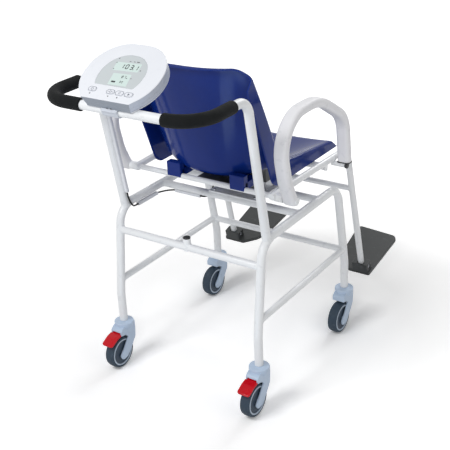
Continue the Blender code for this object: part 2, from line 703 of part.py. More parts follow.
def duct(name, low, high, along, open_side):
    """A channel between two corners, hollow along one axis and open on one side."""
    low, high = Vector(low), Vector(high)
    channel = box(name, low, high)
    inner_low, inner_high = low.copy(), high.copy()
    for axis in range(3):
        inner_low[axis] += -OVERRUN if axis == along else DUCT_WALL
        inner_high[axis] += OVERRUN if axis == along else -DUCT_WALL
    axis, outward = open_side
    if outward > 0:
        inner_high[axis] = high[axis] + OVERRUN
    else:
        inner_low[axis] = low[axis] - OVERRUN
    return cut(channel, box("inside", inner_low, inner_high))


def smooth_route(route, count):
    """Points read from a smooth curve through a route, evenly in number."""
    ends = [2 * Vector(route[0]) - Vector(route[1]), 2 * Vector(route[-1]) - Vector(route[-2])]
    nodes = [ends[0]] + [Vector(point) for point in route] + [ends[1]]
    spans = len(route) - 1
    points = []
    for number in range(count + 1):
        place = number * spans / count
        span = min(int(place), spans - 1)
        t = place - span
        a, b, c, d = nodes[span:span + 4]
        points.append(((2 * b) + (c - a) * t + (2 * a - 5 * b + 4 * c - d) * t * t
                       + (3 * b - a - 3 * c + d) * t ** 3) / 2)
    return points


def cabling():
    """The ducts on the left side and the cable through them."""
    inner_x = -HALF_TRACK + FRAME_TUBE / 2 + GAP
    lean = math.atan(HANDLE_SLOPE)
    length = (DUCT_TOP_Z - DUCT_FOOT_Z) / math.cos(lean)
    upright = duct("cable_duct_upright", (inner_x, -DUCT_T / 2, 0),
                   (inner_x + DUCT_W, DUCT_T / 2, length), 2, (0, -1))
    foot_y = HANDLE_FOOT_Y - HANDLE_SLOPE * (DUCT_FOOT_Z - RAIL_Z)
    upright.data.transform(Matrix.Translation((0, foot_y, DUCT_FOOT_Z))
                           @ Matrix.Rotation(lean, 4, "X"))
    finished(upright, WHITE_PAINT)
    x = -HALF_TRACK + RAIL_DUCT_INSET
    finished(duct("cable_duct_rail",
                  (x - DUCT_W / 2, RAIL_DUCT_REAR_Y, RAIL_DUCT_Z - DUCT_T / 2),
                  (x + DUCT_W / 2, RAIL_DUCT_FRONT_Y, RAIL_DUCT_Z + DUCT_T / 2), 1, (2, 1)),
             WHITE_PAINT)
    top = RAIL_Z - REAR_BAR_D / 2 - GAP
    finished(duct("cable_duct_crossbar",
                  (BAR_DUCT_LEFT_X, REAR_BAR_Y - DUCT_W / 2, top - DUCT_T),
                  (BAR_DUCT_RIGHT_X, REAR_BAR_Y + DUCT_W / 2, top), 0, (2, 1)), WHITE_PAINT)
    shift, run = HANDLE_FOOT_Y - ROUTE_FOOT_Y, ROUTE_FRONT_Y - ROUTE_REAR_Y
    route = [(x, y + shift * min(max((ROUTE_FRONT_Y - y) / run, 0), 1), z)
             for x, y, z in CABLE_ROUTE]
    cable = tube("signal_cable", smooth_route(route, CABLE_STEPS), CABLE_D, CABLE_SIDES)
    finished(cable, BLACK_RUBBER)


# The footplates: a tread square to the foot tube, with a slotted hub that the tube's end pins.
TREAD_T = 0.012
HUB_HALF_W = 0.028
HUB_HEIGHT = 0.040          # above the tread's underside
HUB_BACK = 0.017            # behind the tube's axis, also the tread's rear edge
HUB_FRONT = 0.018
PIN_HEIGHT = 0.027          # the pin's axis above the tread's underside
SLOT_GAP = 0.0008
PIN_HEAD_D = 0.014
PIN_HEAD_T = 0.005
PIN_HEAD_INSET = 0.002
TREAD_EDGE = 0.003
TREAD_W = 0.152
TREAD_L = 0.219
TREAD_OUTSIDE = 0.041       # how far the tread reaches outwards from the foot tube's axis

# The tread's outline, from its outer rear corner round to the inner one: shares of its width
# inwards, of its length forwards, and the corner radius as a share of the width.
TREAD_SHARES = ((0.053, 0.0, 0.04), (0.0, 0.945, 0.145), (1.0, 1.0, 0.105),
                (0.934, 0.443, 0.39), (0.829, 0.178, 0.26), (0.546, 0.0, 0.04))


def footplate_place(sign):
    """The tread's frame: origin on the pin's axis, Y forwards along the tread."""
    pin = Matrix.Translation((sign * FOOT_PIN_X, FOOT_PIN_Y, FOOT_PIN_Z))
    return pin @ Matrix.Rotation(math.atan(FOOT_SLOPE), 4, "X")


def footplates():
    """Each plate flips up about its pin, and its hub's rear wall stops it at the bottom."""
    under = -PIN_HEIGHT
    tread_top = under + TREAD_T
    slot = SEAT_TUBE / 2 + SLOT_GAP
    for side, sign in SIDES:
        outline = closed_outline([
            (Vector((sign * (TREAD_OUTSIDE - TREAD_W * inwards), TREAD_L * ahead - HUB_BACK)),
             TREAD_W * corner) for inwards, ahead, corner in TREAD_SHARES])
        plate = prism("footplate_" + side, outline, TREAD_T, under + TREAD_T / 2)
        edged(plate, TREAD_EDGE)
        hub = box("hub", (-HUB_HALF_W, -HUB_BACK, under + TREAD_EDGE),
                  (HUB_HALF_W, HUB_FRONT, under + HUB_HEIGHT))
        joined(plate, edged(hub, TREAD_EDGE))
        end = HUB_HALF_W + OVERRUN
        head_seat = HUB_HALF_W - PIN_HEAD_T - PIN_HEAD_INSET
        cut(plate,
            box("slot", (-slot, -slot, tread_top),
                (slot, HUB_FRONT + OVERRUN, under + HUB_HEIGHT + OVERRUN)),
            bore((-end, 0, 0), (end, 0, 0), FOOT_PIN_D),
            bore((head_seat, 0, 0), (end, 0, 0), PIN_HEAD_D))
        place = footplate_place(sign)
        finished(plate, DARK_PLASTIC, place=place)
        pin = rod("foot_pin_" + side, (-HUB_HALF_W, 0, 0), (head_seat + PIN_HEAD_T / 2, 0, 0),
                  FOOT_PIN_D)
        joined(pin, rod("head", (head_seat + GAP, 0, 0), (head_seat + PIN_HEAD_T, 0, 0),
                        PIN_HEAD_D))
        finished(pin, BARE_STEEL, place=place)


# The moulded seat shell: a dished panel from the front lip to the top, with a turned-back rim.
SHELL_HALF_W = 0.202
SHELL_T = 0.004
SHELL_LENGTH = 0.513
SHELL_AHEAD = 0.809         # share of the length that lies ahead of the rear seat bar
SHELL_DROP = 0.011          # the shell's zero height below the seat rails' axes
SHELL_FRONT_Y = PIVOT_Y + SHELL_LENGTH * SHELL_AHEAD
SHELL_LOW_Z = SEAT_RAIL_Z - SHELL_DROP
SHELL_HEIGHT = 0.366
SHELL_ARC_STEPS = 4
SHELL_RUN_PIECES = (1, 4, 5, 1)     # how many steps each straight run has
SHELL_TOP_CORNER = 0.032            # how far the top's two corners are drawn down
LUG_LEFT_X = -0.097
LUG_RIGHT_X = 0.117
LUG_W = 0.046
LUG_REAR = 0.010
LUG_FRONT = 0.012
LUG_BELOW = 0.002           # below and above the rear seat bar's axis
LUG_ABOVE = 0.041
LUG_BOTTOM = PIVOT_Z - LUG_BELOW
LUG_TOP = PIVOT_Z + LUG_ABOVE
LUG_REACH = 0.058           # how far forwards the lug's root runs under the pan
LUG_ROOT_RISE = 0.0258      # this and the rests' rise are above the shell's zero height
LUG_ROOT_TOP = SHELL_LOW_Z + LUG_ROOT_RISE
REST_X = 0.060              # feet under the pan, on the front seat bar
REST_W = 0.030
REST_DEPTH = 0.012
REST_RISE = 0.0275
REST_TOP = SHELL_LOW_Z + REST_RISE

# Three lines from the front lip over the pan and up the back: down the middle, down the fold
# into the rim, and along the rim's free edge. Each corner is in shares: of the shell's length
# backwards, of its height up, and the bend radius as a share of its height.
MIDDLE_SHARES = ((0.0, 0.003, 0.0), (0.080, 0.079, 0.164), (0.797, 0.055, 0.098),
                 (0.975, 0.989, 0.016), (1.0, 0.978, 0.0))
FOLD_SHARES = ((0.025, 0.033, 0.0), (0.060, 0.082, 0.055), (0.622, 0.183, 0.219),
               (0.879, 1.0, 0.027), (0.895, 1.0, 0.0))
EDGE_SHARES = ((0.004, 0.016, 0.0), (0.037, 0.016, 0.011), (0.723, 0.019, 0.109),
               (0.930, 0.888, 0.055), (0.938, 0.929, 0.0))

# Across the shell: shares of the half width, and of the way round the fold and down the rim.
PANEL_SHARES = (0.0, 0.2, 0.4, 0.6, 0.75, 0.86, 0.94)
ROUND_FOLD_SHARES = (0.25, 0.5, 0.75, 1.0)
RIM_SHARES = (0.25, 0.6, 1.0)
CORNER_SHARE = 0.75         # the corners are drawn in beyond this share of the half width
DISH_POWER = 2.6            # how late the panel rises towards the fold


def shell_line(shares):
    """The points of one line of the shell, as many for each of the three lines."""
    path = rounded([(Vector((SHELL_FRONT_Y - SHELL_LENGTH * back, SHELL_LOW_Z + SHELL_HEIGHT * up)),
                     SHELL_HEIGHT * bend) for back, up, bend in shares], SHELL_ARC_STEPS)
    line = []
    turn = SHELL_ARC_STEPS + 1
    for number, pieces in enumerate(SHELL_RUN_PIECES):
        start, end = path[number * turn], path[number * turn + 1]
        line += [start.lerp(end, piece / pieces) for piece in range(pieces)]
        line += path[number * turn + 1:(number + 1) * turn]
    return line


def shell_row(middle, fold, edge):
    """Half a section across the shell, from its middle round the fold to the free edge."""
    half = SHELL_HALF_W - SHELL_T / 2

    def at(x, point):
        return Vector((x, point.x, point.y))
    row = [at(half * u, middle.lerp(fold, u ** DISH_POWER)) for u in PANEL_SHARES]
    start, end = row[-1], at(half, fold.lerp(edge, RIM_SHARES[0]))
    for t in ROUND_FOLD_SHARES:
        row.append(start.lerp(at(half, fold), t).lerp(at(half, fold).lerp(end, t), t))
    return row + [at(half, fold.lerp(edge, share)) for share in RIM_SHARES[1:]]


def shell_grid():
    """The shell's middle surface as rows of points, with its two top corners drawn down."""
    lines = [shell_line(shares) for shares in (MIDDLE_SHARES, FOLD_SHARES, EDGE_SHARES)]
    back_rows = SHELL_RUN_PIECES[2]
    back_start = len(lines[0]) - 1 - sum(SHELL_RUN_PIECES[2:]) - SHELL_ARC_STEPS
    grid = []
    for number, points in enumerate(zip(*lines)):
        up = min(max(0, number - back_start) / back_rows, 1)
        half = []
        for place in shell_row(*points):
            out = max(0, place.x / SHELL_HALF_W - CORNER_SHARE) / (1 - CORNER_SHARE)
            half.append(place - Vector((0, 0, SHELL_TOP_CORNER * up * up * out * out)))
        row = [Vector((-place.x, place.y, place.z)) for place in half[:0:-1]] + half
        grid.append(row)
    return grid


def seat_shell():
    """The shell is a lofted surface given thickness, with lugs and feet on the seat bars."""
    grid = shell_grid()
    columns = len(grid[0])
    faces = [(r * columns + c, r * columns + c + 1, (r + 1) * columns + c + 1,
              (r + 1) * columns + c)
             for r in range(len(grid) - 1) for c in range(columns - 1)]
    mesh = bpy.data.meshes.new("seat_shell")
    mesh.from_pydata([point for row in grid for point in row], [], faces)
    shell = new_object("seat_shell", mesh)
    solid = shell.modifiers.new("wall", "SOLIDIFY")
    solid.thickness = SHELL_T
    solid.offset = 0.0
    baked(shell)
    cleaned(shell.data)
    for sign, lug_x in ((-1, LUG_LEFT_X), (1, LUG_RIGHT_X)):
        joined(shell, box("lug", (lug_x - LUG_W / 2, PIVOT_Y - LUG_REAR, LUG_BOTTOM),
                          (lug_x + LUG_W / 2, PIVOT_Y + LUG_FRONT, LUG_TOP)),
               box("root", (lug_x - LUG_W / 2, PIVOT_Y, LUG_BOTTOM),
                   (lug_x + LUG_W / 2, PIVOT_Y + LUG_REACH, LUG_ROOT_TOP)),
               box("rest", (sign * REST_X - REST_W / 2, SEAT_BAR_FRONT_Y - REST_DEPTH / 2,
                            SEAT_BAR_FRONT_Z),
                   (sign * REST_X + REST_W / 2, SEAT_BAR_FRONT_Y + REST_DEPTH / 2, REST_TOP)))
    x = SHELL_HALF_W
    channel = SEAT_BAR_REAR_D / 2 + GAP
    cut(shell, bore((-x, PIVOT_Y, PIVOT_Z), (x, PIVOT_Y, PIVOT_Z), SEAT_BAR_REAR_D),
        box("mouth", (-x, PIVOT_Y - channel, LUG_BOTTOM - OVERRUN),
            (x, PIVOT_Y + channel, PIVOT_Z)),
        bore((-x / 2, SEAT_BAR_FRONT_Y, SEAT_BAR_FRONT_Z),
             (x / 2, SEAT_BAR_FRONT_Y, SEAT_BAR_FRONT_Z), SEAT_BAR_FRONT_D))
    finished(shell, SHELL_PLASTIC)


# The display head, in a frame whose origin is on the handlebar's axis and Z out of its face.
HEAD_TILT = math.radians(30)
HEAD_X = 0.0
HEAD_W = 0.232              # the face's width
FACE_HEIGHT = 0.0458        # the face above the handlebar's axis
FACE_SHIFT = 0.0166         # the face outline's zero line, along Y
TOP_T = 0.018               # depth of the white upper cover
BOTTOM_T = 0.0145           # depth of the grey lower cover
COVER_WALL = 0.003
FACE_WALL = 0.0025
HEAD_EDGE = 0.0020
DRAFT = 0.006               # how far the sides lean in from the face to the underside
HEAD_ARC_STEPS = 6
LEAST_CORNER = 0.25         # share of a corner's radius that an inset leaves
SADDLE_W = 0.050
SADDLE_WALL = 0.0035
WINDOW_T = 0.0022
BOARD_T = 0.0030
BATTERY_W = 0.072
BATTERY_L = 0.050
KEY_L = 0.025
KEY_W = 0.0150
KEY_END = 0.0074            # radius of a key's rounded ends
KEY_PROUD = 0.0015
KEY_TRAVEL = 0.0010
KEY_Y = 0.0013
KEY_PITCH = 0.0275

# Half outlines from the bottom edge round to the top's, in shares of the face's width:
# sideways from the middle, up from the zero line, and the corner radius.
HEAD_SHARES = ((0.321, -0.1095, 0.017), (0.500, 0.087, 0.443), (0.500, 0.4455, 0.418),
               (0.2535, 0.6935, 0.421))
WINDOW_SHARES = ((0.2466, 0.0836, 0.011), (0.288, 0.1578, 0.293), (0.288, 0.3647, 0.2715),
                 (0.128, 0.5246, 0.267))

# Each key's name and its place along the row, counted in pitches from the head's middle.
KEY_SHARES = (("key_power", -1.9), ("key_zero", 0.15), ("key_hold", 1.15),
              ("key_mode", 2.15))


def head_place():
    """The display head's frame, whose X axis is the handlebar's and the tilt joint's axis."""
    return (Matrix.Translation((HEAD_X, HANDLE_REAR_Y, HANDLE_Z))
            @ Matrix.Rotation(HEAD_TILT, 4, "X"))


def mirrored(shares, inset=0.0, front=None):
    """A full outline from half an outline's shares. Each corner moves until it is the inset
    inside both its edges, where the straight front edge may have another inset."""
    front = inset if front is None else front
    half = [(HEAD_W * x, HEAD_W * y, HEAD_W * radius) for x, y, radius in shares]
    whole = half + [(-x, y, radius) for x, y, radius in reversed(half)]
    places = [Vector((x, y + FACE_SHIFT)) for x, y, radius in whole]
    last, corners = len(whole) - 1, []
    for number, (x, y, radius) in enumerate(whole):
        place = places[number]
        ways = [place - places[number - 1], places[(number + 1) % len(whole)] - place]
        before, after = [Vector((way.y, -way.x)).normalized() for way in ways]
        cosine = before.dot(after)
        a = front if number == 0 else inset
        b = front if number == last else inset
        inwards = before * (a - b * cosine) + after * (b - a * cosine)
        corners.append((place - inwards / (1 - cosine * cosine),
                        max(radius - inset, radius * LEAST_CORNER)))
    return closed_outline(corners, HEAD_ARC_STEPS)


def head_slab(name, shares, low, high, inset=0.0):
    """A slab of the head between two heights above the handlebar's axis."""
    return prism(name, mirrored(shares, inset), high - low, (low + high) / 2)


def head_cover(name, levels):
    """A solid lofted through the head's outline at several (height, inset, front) levels."""
    rings = [[(*point, height) for point in mirrored(HEAD_SHARES, inset, front)]
             for height, inset, front in levels]
    count = len(rings[0])
    faces = [(r * count + n, r * count + (n + 1) % count, (r + 1) * count + (n + 1) % count,
              (r + 1) * count + n) for r in range(len(rings) - 1) for n in range(count)]
    faces += [tuple(range(count)), tuple(range((len(rings) - 1) * count, len(rings) * count))]
    mesh = bpy.data.meshes.new(name)
    mesh.from_pydata([point for ring in rings for point in ring], [], faces)
    return new_object(name, cleaned(mesh))


def key_shape(name, x, low, high, gap=0.0):
    """A stadium-shaped key, or its hole, between two heights with a gap all round."""
    half_l, half_w = KEY_L / 2 + gap, KEY_W / 2 + gap
    outline = closed_outline([(Vector(point), KEY_END) for point in (
        (-half_l, -half_w), (half_l, -half_w), (half_l, half_w), (-half_l, half_w))])
    key = prism(name, outline, high - low, (low + high) / 2)
    key.data.transform(Matrix.Translation((x, KEY_Y + FACE_SHIFT, 0)))
    return key


def battery_box(under, split):
    """The battery pack's two corners, in the lower cover ahead of the handlebar."""
    start = FRAME_TUBE + SADDLE_WALL + FACE_SHIFT
    return (Vector((-BATTERY_W / 2, start, under + COVER_WALL)),
            Vector((BATTERY_W / 2, start + BATTERY_L, split - GAP)))


def display_head():
    """Two covers, window, board, battery pack, four keys and the clamp on the handlebar."""
    place = head_place()
    face = FACE_HEIGHT
    split = face - TOP_T
    under = split - BOTTOM_T
    bar = FRAME_TUBE / 2
    channel = (GRIP_D + RUNNING) / 2
    length = SADDLE_W / 2 + RUNNING
    lean = DRAFT * TOP_T / (TOP_T + BOTTOM_T)

    top = head_cover("display_top_cover", ((face, HEAD_EDGE, HEAD_EDGE),
                                           (face - HEAD_EDGE, 0, 0), (split, lean, 0)))
    cut(top, head_slab("room", HEAD_SHARES, split - OVERRUN, face - FACE_WALL,
                       COVER_WALL + lean),
        head_slab("pane", WINDOW_SHARES, split, face + OVERRUN, -GAP))
    for name, pitches in KEY_SHARES:
        cut(top, key_shape("hole", KEY_PITCH * pitches, split, face + OVERRUN, GAP))
    finished(top, HEAD_WHITE, place=place)

    bottom = head_cover("display_bottom_cover",
                        ((split - GAP, lean, 0), (under, DRAFT, 0)))
    cut(bottom, rod("channel", (-length, 0, 0), (length, 0, 0), 2 * channel))
    battery_low, battery_high = battery_box(under, split)
    slack = Vector((GAP, GAP, GAP))
    cut(bottom, box("bay", battery_low - slack, battery_high + slack + Vector((0, 0, OVERRUN))))
    finished(bottom, HEAD_GREY, place=place)
    finished(box("battery_pack", battery_low, battery_high), BATTERY_BLUE, place=place)

    finished(head_slab("display_window", WINDOW_SHARES, face - WINDOW_T, face), WINDOW_FILM,
             place=place)
    board_top = face - FACE_WALL - GAP
    board = head_slab("display_board", WINDOW_SHARES, board_top - BOARD_T, board_top,
                      -COVER_WALL)
    post_y = HEAD_W * WINDOW_SHARES[0][1] + FACE_SHIFT
    joined(board, box("post", (-KEY_W, post_y, split),
                      (KEY_W, post_y + KEY_W, board_top - BOARD_T / 2)))
    finished(board, BOARD_GREEN, place=place)

    for name, pitches in KEY_SHARES:
        x = KEY_PITCH * pitches
        key = key_shape(name, x, face - 2 * FACE_WALL - KEY_TRAVEL, face + KEY_PROUD)
        finished(key, KEY_GREY, (x, KEY_Y + FACE_SHIFT, face), place)

    clamp = rod("display_bracket", (-SADDLE_W / 2, 0, 0), (SADDLE_W / 2, 0, 0),
                2 * (bar + SADDLE_WALL))
    joined(clamp, box("wings", (-SADDLE_W / 2, -bar - SADDLE_WALL, under - GAP - SADDLE_WALL),
                      (SADDLE_W / 2, SADDLE_W, under - GAP)))
    cut(clamp, bore((-SADDLE_W, 0, 0), (SADDLE_W, 0, 0), FRAME_TUBE))
    finished(clamp, HEAD_GREY, place=place)


# The castors: a hooded fork on a stem, a wheel with its tyre, and a brake pedal at the rear.
COLLAR_RIM = 0.011
COLLAR_CROWN = 0.0025       # the collar's top falls this much from stem to rim
NECK_D = 0.052
ARM_PLATE = 0.0045          # thickness of a fork arm
AXLE_D = 0.009
TYRE_T = 0.0055
TYRE_SIDES = 36
RIM_STEP = 0.0008           # the wheel is this much narrower than its tyre, each side
WHEEL_ROOM = 0.004          # clearance round the tyre
PEDAL_ROOT_W = 0.029        # between the hood's cheeks
PEDAL_W = 0.041
PEDAL_NECK = 0.0105         # from the pin back to where the pedal widens
PEDAL_T = 0.005
PEDAL_PIVOT_Y = -0.032
PEDAL_PIVOT_Z = 0.1145
PEDAL_LENGTH = 0.056
PEDAL_FALL = 0.020
PEDAL_CURVE = 0.030         # bend radius half way along the pedal
PEDAL_PIN_D = 0.004
PEDAL_BARREL_D = 0.008

# The fork's side outline in shares of the wheel's diameter: forwards of the stem, up from
# the floor, and the corner radius. First down the front, then up the back from the arm's end.
FORK_FRONT_SHARES = ((0.26, 1.34, 0.0), (0.26, 1.04, 0.12), (0.235, 0.80, 0.16),
                     (-0.02, 0.46, 0.25), (-0.20, 0.285, 0.10), (-0.42, 0.25, 0.12))
FORK_BACK_SHARES = ((-0.52, 0.44, 0.10), (-0.33, 0.62, 0.20), (-0.09, 0.945, 0.04),
                    (-0.20, 1.045, 0.10), (-0.40, 1.085, 0.03), (-0.40, 1.24, 0.08),
                    (-0.26, 1.34, 0.0))


def castor_fork(name, stem, braked):
    """The fork with its collar, stem and axle, and the hood slotted where it has a pedal."""
    def at(x, y, z):
        return stem + Vector((x, y, z))
    axle_y, axle_z = -TRAIL, WHEEL_D / 2
    outline = closed_outline([(Vector((stem.y + WHEEL_D * ahead, WHEEL_D * up)), WHEEL_D * bend)
                              for ahead, up, bend in FORK_FRONT_SHARES + FORK_BACK_SHARES])
    room = WHEEL_W + 2 * RUNNING
    width = room + 2 * ARM_PLATE
    fork = prism(name, outline, width, stem.x, SIDE_VIEW)
    cut(fork, rod("well", at(-room / 2, axle_y, axle_z), at(room / 2, axle_y, axle_z),
                  WHEEL_D + 2 * WHEEL_ROOM))
    rim_z = COLLAR_TOP - COLLAR_CROWN
    neck_z = rim_z - COLLAR_RIM
    collar = turned("collar", [(0, COLLAR_TOP), (STEM_D / 2, COLLAR_TOP), (COLLAR_D / 2, rim_z),
                               (COLLAR_D / 2, neck_z), (NECK_D / 2, neck_z),
                               (NECK_D / 2, neck_z - COLLAR_RIM), (0, neck_z - COLLAR_RIM)],
                    Matrix.Translation(stem))
    joined(fork, collar,
           rod("stem", at(0, 0, rim_z), at(0, 0, LEG_FOOT_Z + STEM_LENGTH), STEM_D),
           rod("axle", at(RUNNING - width / 2, axle_y, axle_z),
               at(width / 2 - RUNNING, axle_y, axle_z), AXLE_D))
    if braked:
        barrel = PEDAL_BARREL_D + 2 * RUNNING
        slot = PEDAL_ROOT_W + 2 * RUNNING
        pivot = Vector((0, PEDAL_PIVOT_Y, PEDAL_PIVOT_Z))
        edge = COLLAR_D / 2 + OVERRUN
        pin_end = (slot + PEDAL_BARREL_D) / 2
        cut(fork, rod("slot", at(-slot / 2, *pivot.yz), at(slot / 2, *pivot.yz), barrel),
            box("mouth", at(-slot / 2, -edge - PEDAL_LENGTH, PEDAL_PIVOT_Z - PEDAL_LENGTH),
                at(slot / 2, PEDAL_PIVOT_Y, PEDAL_PIVOT_Z + barrel / 2)),
            bore(at(-pin_end, *pivot.yz), at(pin_end, *pivot.yz), PEDAL_PIN_D))
    return finished(fork, GREY_PLASTIC, stem)


def castor_wheel(name, centre):
    """Wheel and tyre, each turned about the axle."""
    lying = Matrix.Translation(centre) @ Matrix.Rotation(math.radians(90), 4, "Y")
    rim_r = WHEEL_D / 2 - TYRE_T
    half = WHEEL_W / 2 - RIM_STEP
    profile = [(clear_of(AXLE_D) / 2, half), (WHEEL_W / 4, half),
               (rim_r - TYRE_T, half - 2 * RIM_STEP), (rim_r, half)]
    profile += [(radius, -height) for radius, height in reversed(profile)]
    finished(turned("castor_wheel_" + name, profile, lying), RIM_PLASTIC, centre)
    outer = WHEEL_D / 2
    inner = rim_r + GAP
    side = WHEEL_W / 2
    soft = TYRE_T / 2
    profile = [(inner, side), (outer - soft, side), (outer, side - soft),
               (outer, soft - side), (outer - soft, -side), (inner, -side)]
    finished(turned("castor_tyre_" + name, profile, lying, TYRE_SIDES), TYRE_RUBBER, centre)


def brake_pedal(name, stem):
    """A pedal on a pin in the hood's slot, reaching back over the wheel."""
    pivot = stem + Vector((0, PEDAL_PIVOT_Y, PEDAL_PIVOT_Z))
    end = Vector((pivot.y - PEDAL_LENGTH, pivot.z - PEDAL_FALL))
    bend = Vector((pivot.y - PEDAL_LENGTH / 2, pivot.z - PEDAL_FALL / 6 - PEDAL_T / 2))
    half = Vector((0, PEDAL_T / 2))
    outline = closed_outline([(pivot.yz + half, 0), (bend + half, PEDAL_CURVE),
                              (end + half, PEDAL_T / 4), (end - half, PEDAL_T / 4),
                              (bend - half, PEDAL_CURVE), (pivot.yz - half, 0)])
    pedal = prism(name, outline, PEDAL_W, stem.x, SIDE_VIEW)
    neck_y = pivot.y - PEDAL_NECK
    for sign in (-1, 1):
        inner, outer = sign * PEDAL_ROOT_W / 2, sign * PEDAL_W
        cut(pedal, box("neck", (stem.x + min(inner, outer), neck_y, pivot.z - PEDAL_LENGTH),
                       (stem.x + max(inner, outer), pivot.y + PEDAL_T, pivot.z + PEDAL_T)))
    across = Vector((PEDAL_ROOT_W / 2, 0, 0))
    pin = Vector(((PEDAL_ROOT_W + PEDAL_BARREL_D) / 2, 0, 0))
    joined(pedal, rod("barrel", pivot - across, pivot + across, PEDAL_BARREL_D),
           rod("pin", pivot - pin, pivot + pin, PEDAL_PIN_D))
    finished(pedal, RED_PLASTIC, pivot)


def castors():
    """Four swivel castors, the rear two with brakes."""
    for end, y in (("rear", -HALF_BASE), ("front", HALF_BASE)):
        for side, sign in SIDES:
            name = end + "_" + side
            stem = Vector((sign * HALF_TRACK, y, 0))
            castor_fork("castor_fork_" + name, stem, end == "rear")
            castor_wheel(name, stem + Vector((0, -TRAIL, WHEEL_D / 2)))
            if end == "rear":
                brake_pedal("brake_pedal_" + side, stem)


def centre_on_floor():
    """Move everything along Y so that the middle of the whole box is over the origin."""
    bpy.context.view_layer.update()
    depths = [(obj.matrix_world @ Vector(corner)).y
              for obj in PARTS.objects for corner in obj.bound_box]
    shift = -(min(depths) + max(depths)) / 2
    for obj in PARTS.objects:
        obj.location.y += shift
    print("moved along Y by", round(shift, 5))


side_frames()
cross_tubes()
push_handle()
grips()
seat_rails()
seat_bars()
armrests()
arm_pivots()
stop_pads()
weighing()
cabling()
footplates()
seat_shell()
display_head()
castors()
centre_on_floor()
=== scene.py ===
"""The looks of a digital chair scale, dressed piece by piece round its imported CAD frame.

Metres, +Z up. The sitter faces +Y, and the push handle and its display are at -Y.
Places are written as in the CAD source, and each mesh is moved back once by SHIFT_Y.
"""
import math

import bmesh
import bpy
import numpy as np
from mathutils import Matrix, Vector


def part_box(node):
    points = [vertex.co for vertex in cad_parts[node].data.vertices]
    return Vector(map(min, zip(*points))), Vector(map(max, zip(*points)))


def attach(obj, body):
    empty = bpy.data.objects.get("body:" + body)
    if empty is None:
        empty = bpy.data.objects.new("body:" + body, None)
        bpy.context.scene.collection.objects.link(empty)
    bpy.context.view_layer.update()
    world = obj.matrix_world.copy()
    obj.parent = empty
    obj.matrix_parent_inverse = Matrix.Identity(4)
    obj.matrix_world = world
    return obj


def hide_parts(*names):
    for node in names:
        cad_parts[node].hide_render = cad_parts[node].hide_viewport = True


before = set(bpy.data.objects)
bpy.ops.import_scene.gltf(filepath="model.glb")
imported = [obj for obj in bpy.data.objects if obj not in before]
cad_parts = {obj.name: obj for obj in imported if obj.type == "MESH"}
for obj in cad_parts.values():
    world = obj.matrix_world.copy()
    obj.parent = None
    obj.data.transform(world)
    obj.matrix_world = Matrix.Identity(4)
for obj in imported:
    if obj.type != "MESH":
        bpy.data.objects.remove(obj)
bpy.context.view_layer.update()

# The camera stands behind the chair's right corner and looks down on it, as in the photograph.
# Its long lens keeps the legs nearly parallel, and its frame is turned by a few degrees.
AZIMUTH, ELEVATION, ROLL = (math.radians(angle) for angle in (35.1521, 25.5128, -2.8094))
CAMERA_AWAY, CAMERA_ASIDE, CAMERA_UP = 2.9772, -0.0236, 0.3727
side_low, side_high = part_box("side_frame_left")
SHIFT_Y = (side_low.y + side_high.y) / 2

back = Vector((math.sin(AZIMUTH) * math.cos(ELEVATION), -math.cos(AZIMUTH) * math.cos(ELEVATION),
               math.sin(ELEVATION)))
right = Vector((math.cos(AZIMUTH), math.sin(AZIMUTH), 0))
up = back.cross(right)
camera_data = bpy.data.cameras.new("camera")
camera_data.sensor_width = 36.0
camera_data.lens = 74.7073
camera = bpy.data.objects.new("camera", camera_data)
turned_right = math.cos(ROLL) * right + math.sin(ROLL) * up
turned_up = math.cos(ROLL) * up - math.sin(ROLL) * right
camera.matrix_world = Matrix.Translation(
    back * CAMERA_AWAY + right * CAMERA_ASIDE + up * CAMERA_UP + Vector((0, SHIFT_Y, 0))
) @ Matrix((turned_right, turned_up, back)).transposed().to_4x4()
bpy.context.scene.collection.objects.link(camera)
bpy.context.scene.camera = camera
bpy.context.scene.view_settings.view_transform = "Standard"

# The studio is a white sweep in even light. One lamp hangs over the camera's left shoulder, one
# beside the camera, one at the chair's right and one beyond it. A small blue one lies on the
# floor at the chair's back.
AMBIENT = 0.34
WHITE = (1.0, 1.0, 1.0)
CHAIR = (0, 0, 0.45)
LAMPS = (("overhead", (-0.6, -2.1, 2.7), CHAIR, 1.0, 38.0, WHITE),
         ("beyond", (0.1, 2.5, 2.4), CHAIR, 1.0, 27.0, WHITE),
         ("low", (0.13, -0.95, 0.01), (0.13, -0.95, 1.0), 0.30, 1.1, (0.55, 0.75, 1.0)),
         ("accent", (1.15, -2.3, 1.75), CHAIR, 0.45, 9.0, WHITE),
         ("fill", (2.4, -0.4, 1.5), CHAIR, 1.6, 7.0, WHITE))
FLOOR_HALF = 9.0
FLOOR_DROP = 0.0006
FLOOR_GREY = 0.80                   # the floor's own shade, as it lights the chair
FLOOR_SHADE = 1.27                  # the floor as the camera sees it, white in full light
FAR_SHADE = 3.0                     # and where the lamps' light has fallen off
SHADE_FROM, SHADE_TO = 0.55, 4.0


def wired(tree, kind, output, inputs, **settings):
    """The output of a new shader node, with its settings made and its inputs linked or set."""
    made = tree.nodes.new("ShaderNode" + kind)
    for name, value in settings.items():
        setattr(made, name, value)
    for socket, value in inputs.items():
        if isinstance(value, bpy.types.NodeSocket):
            tree.links.new(value, made.inputs[socket])
        else:
            made.inputs[socket].default_value = value
    return made.outputs[output]


def seen_directly(tree):
    """A value that is 1 for rays from the camera, a mirror or glass, and 0 for others."""
    rays = tree.nodes.new("ShaderNodeLightPath").outputs
    either = wired(tree, "Math", 0, {0: rays["Is Camera Ray"], 1: rays["Is Glossy Ray"]},
                   operation="MAXIMUM")
    return wired(tree, "Math", 0, {0: either, 1: rays["Is Transmission Ray"]},
                 operation="MAXIMUM")


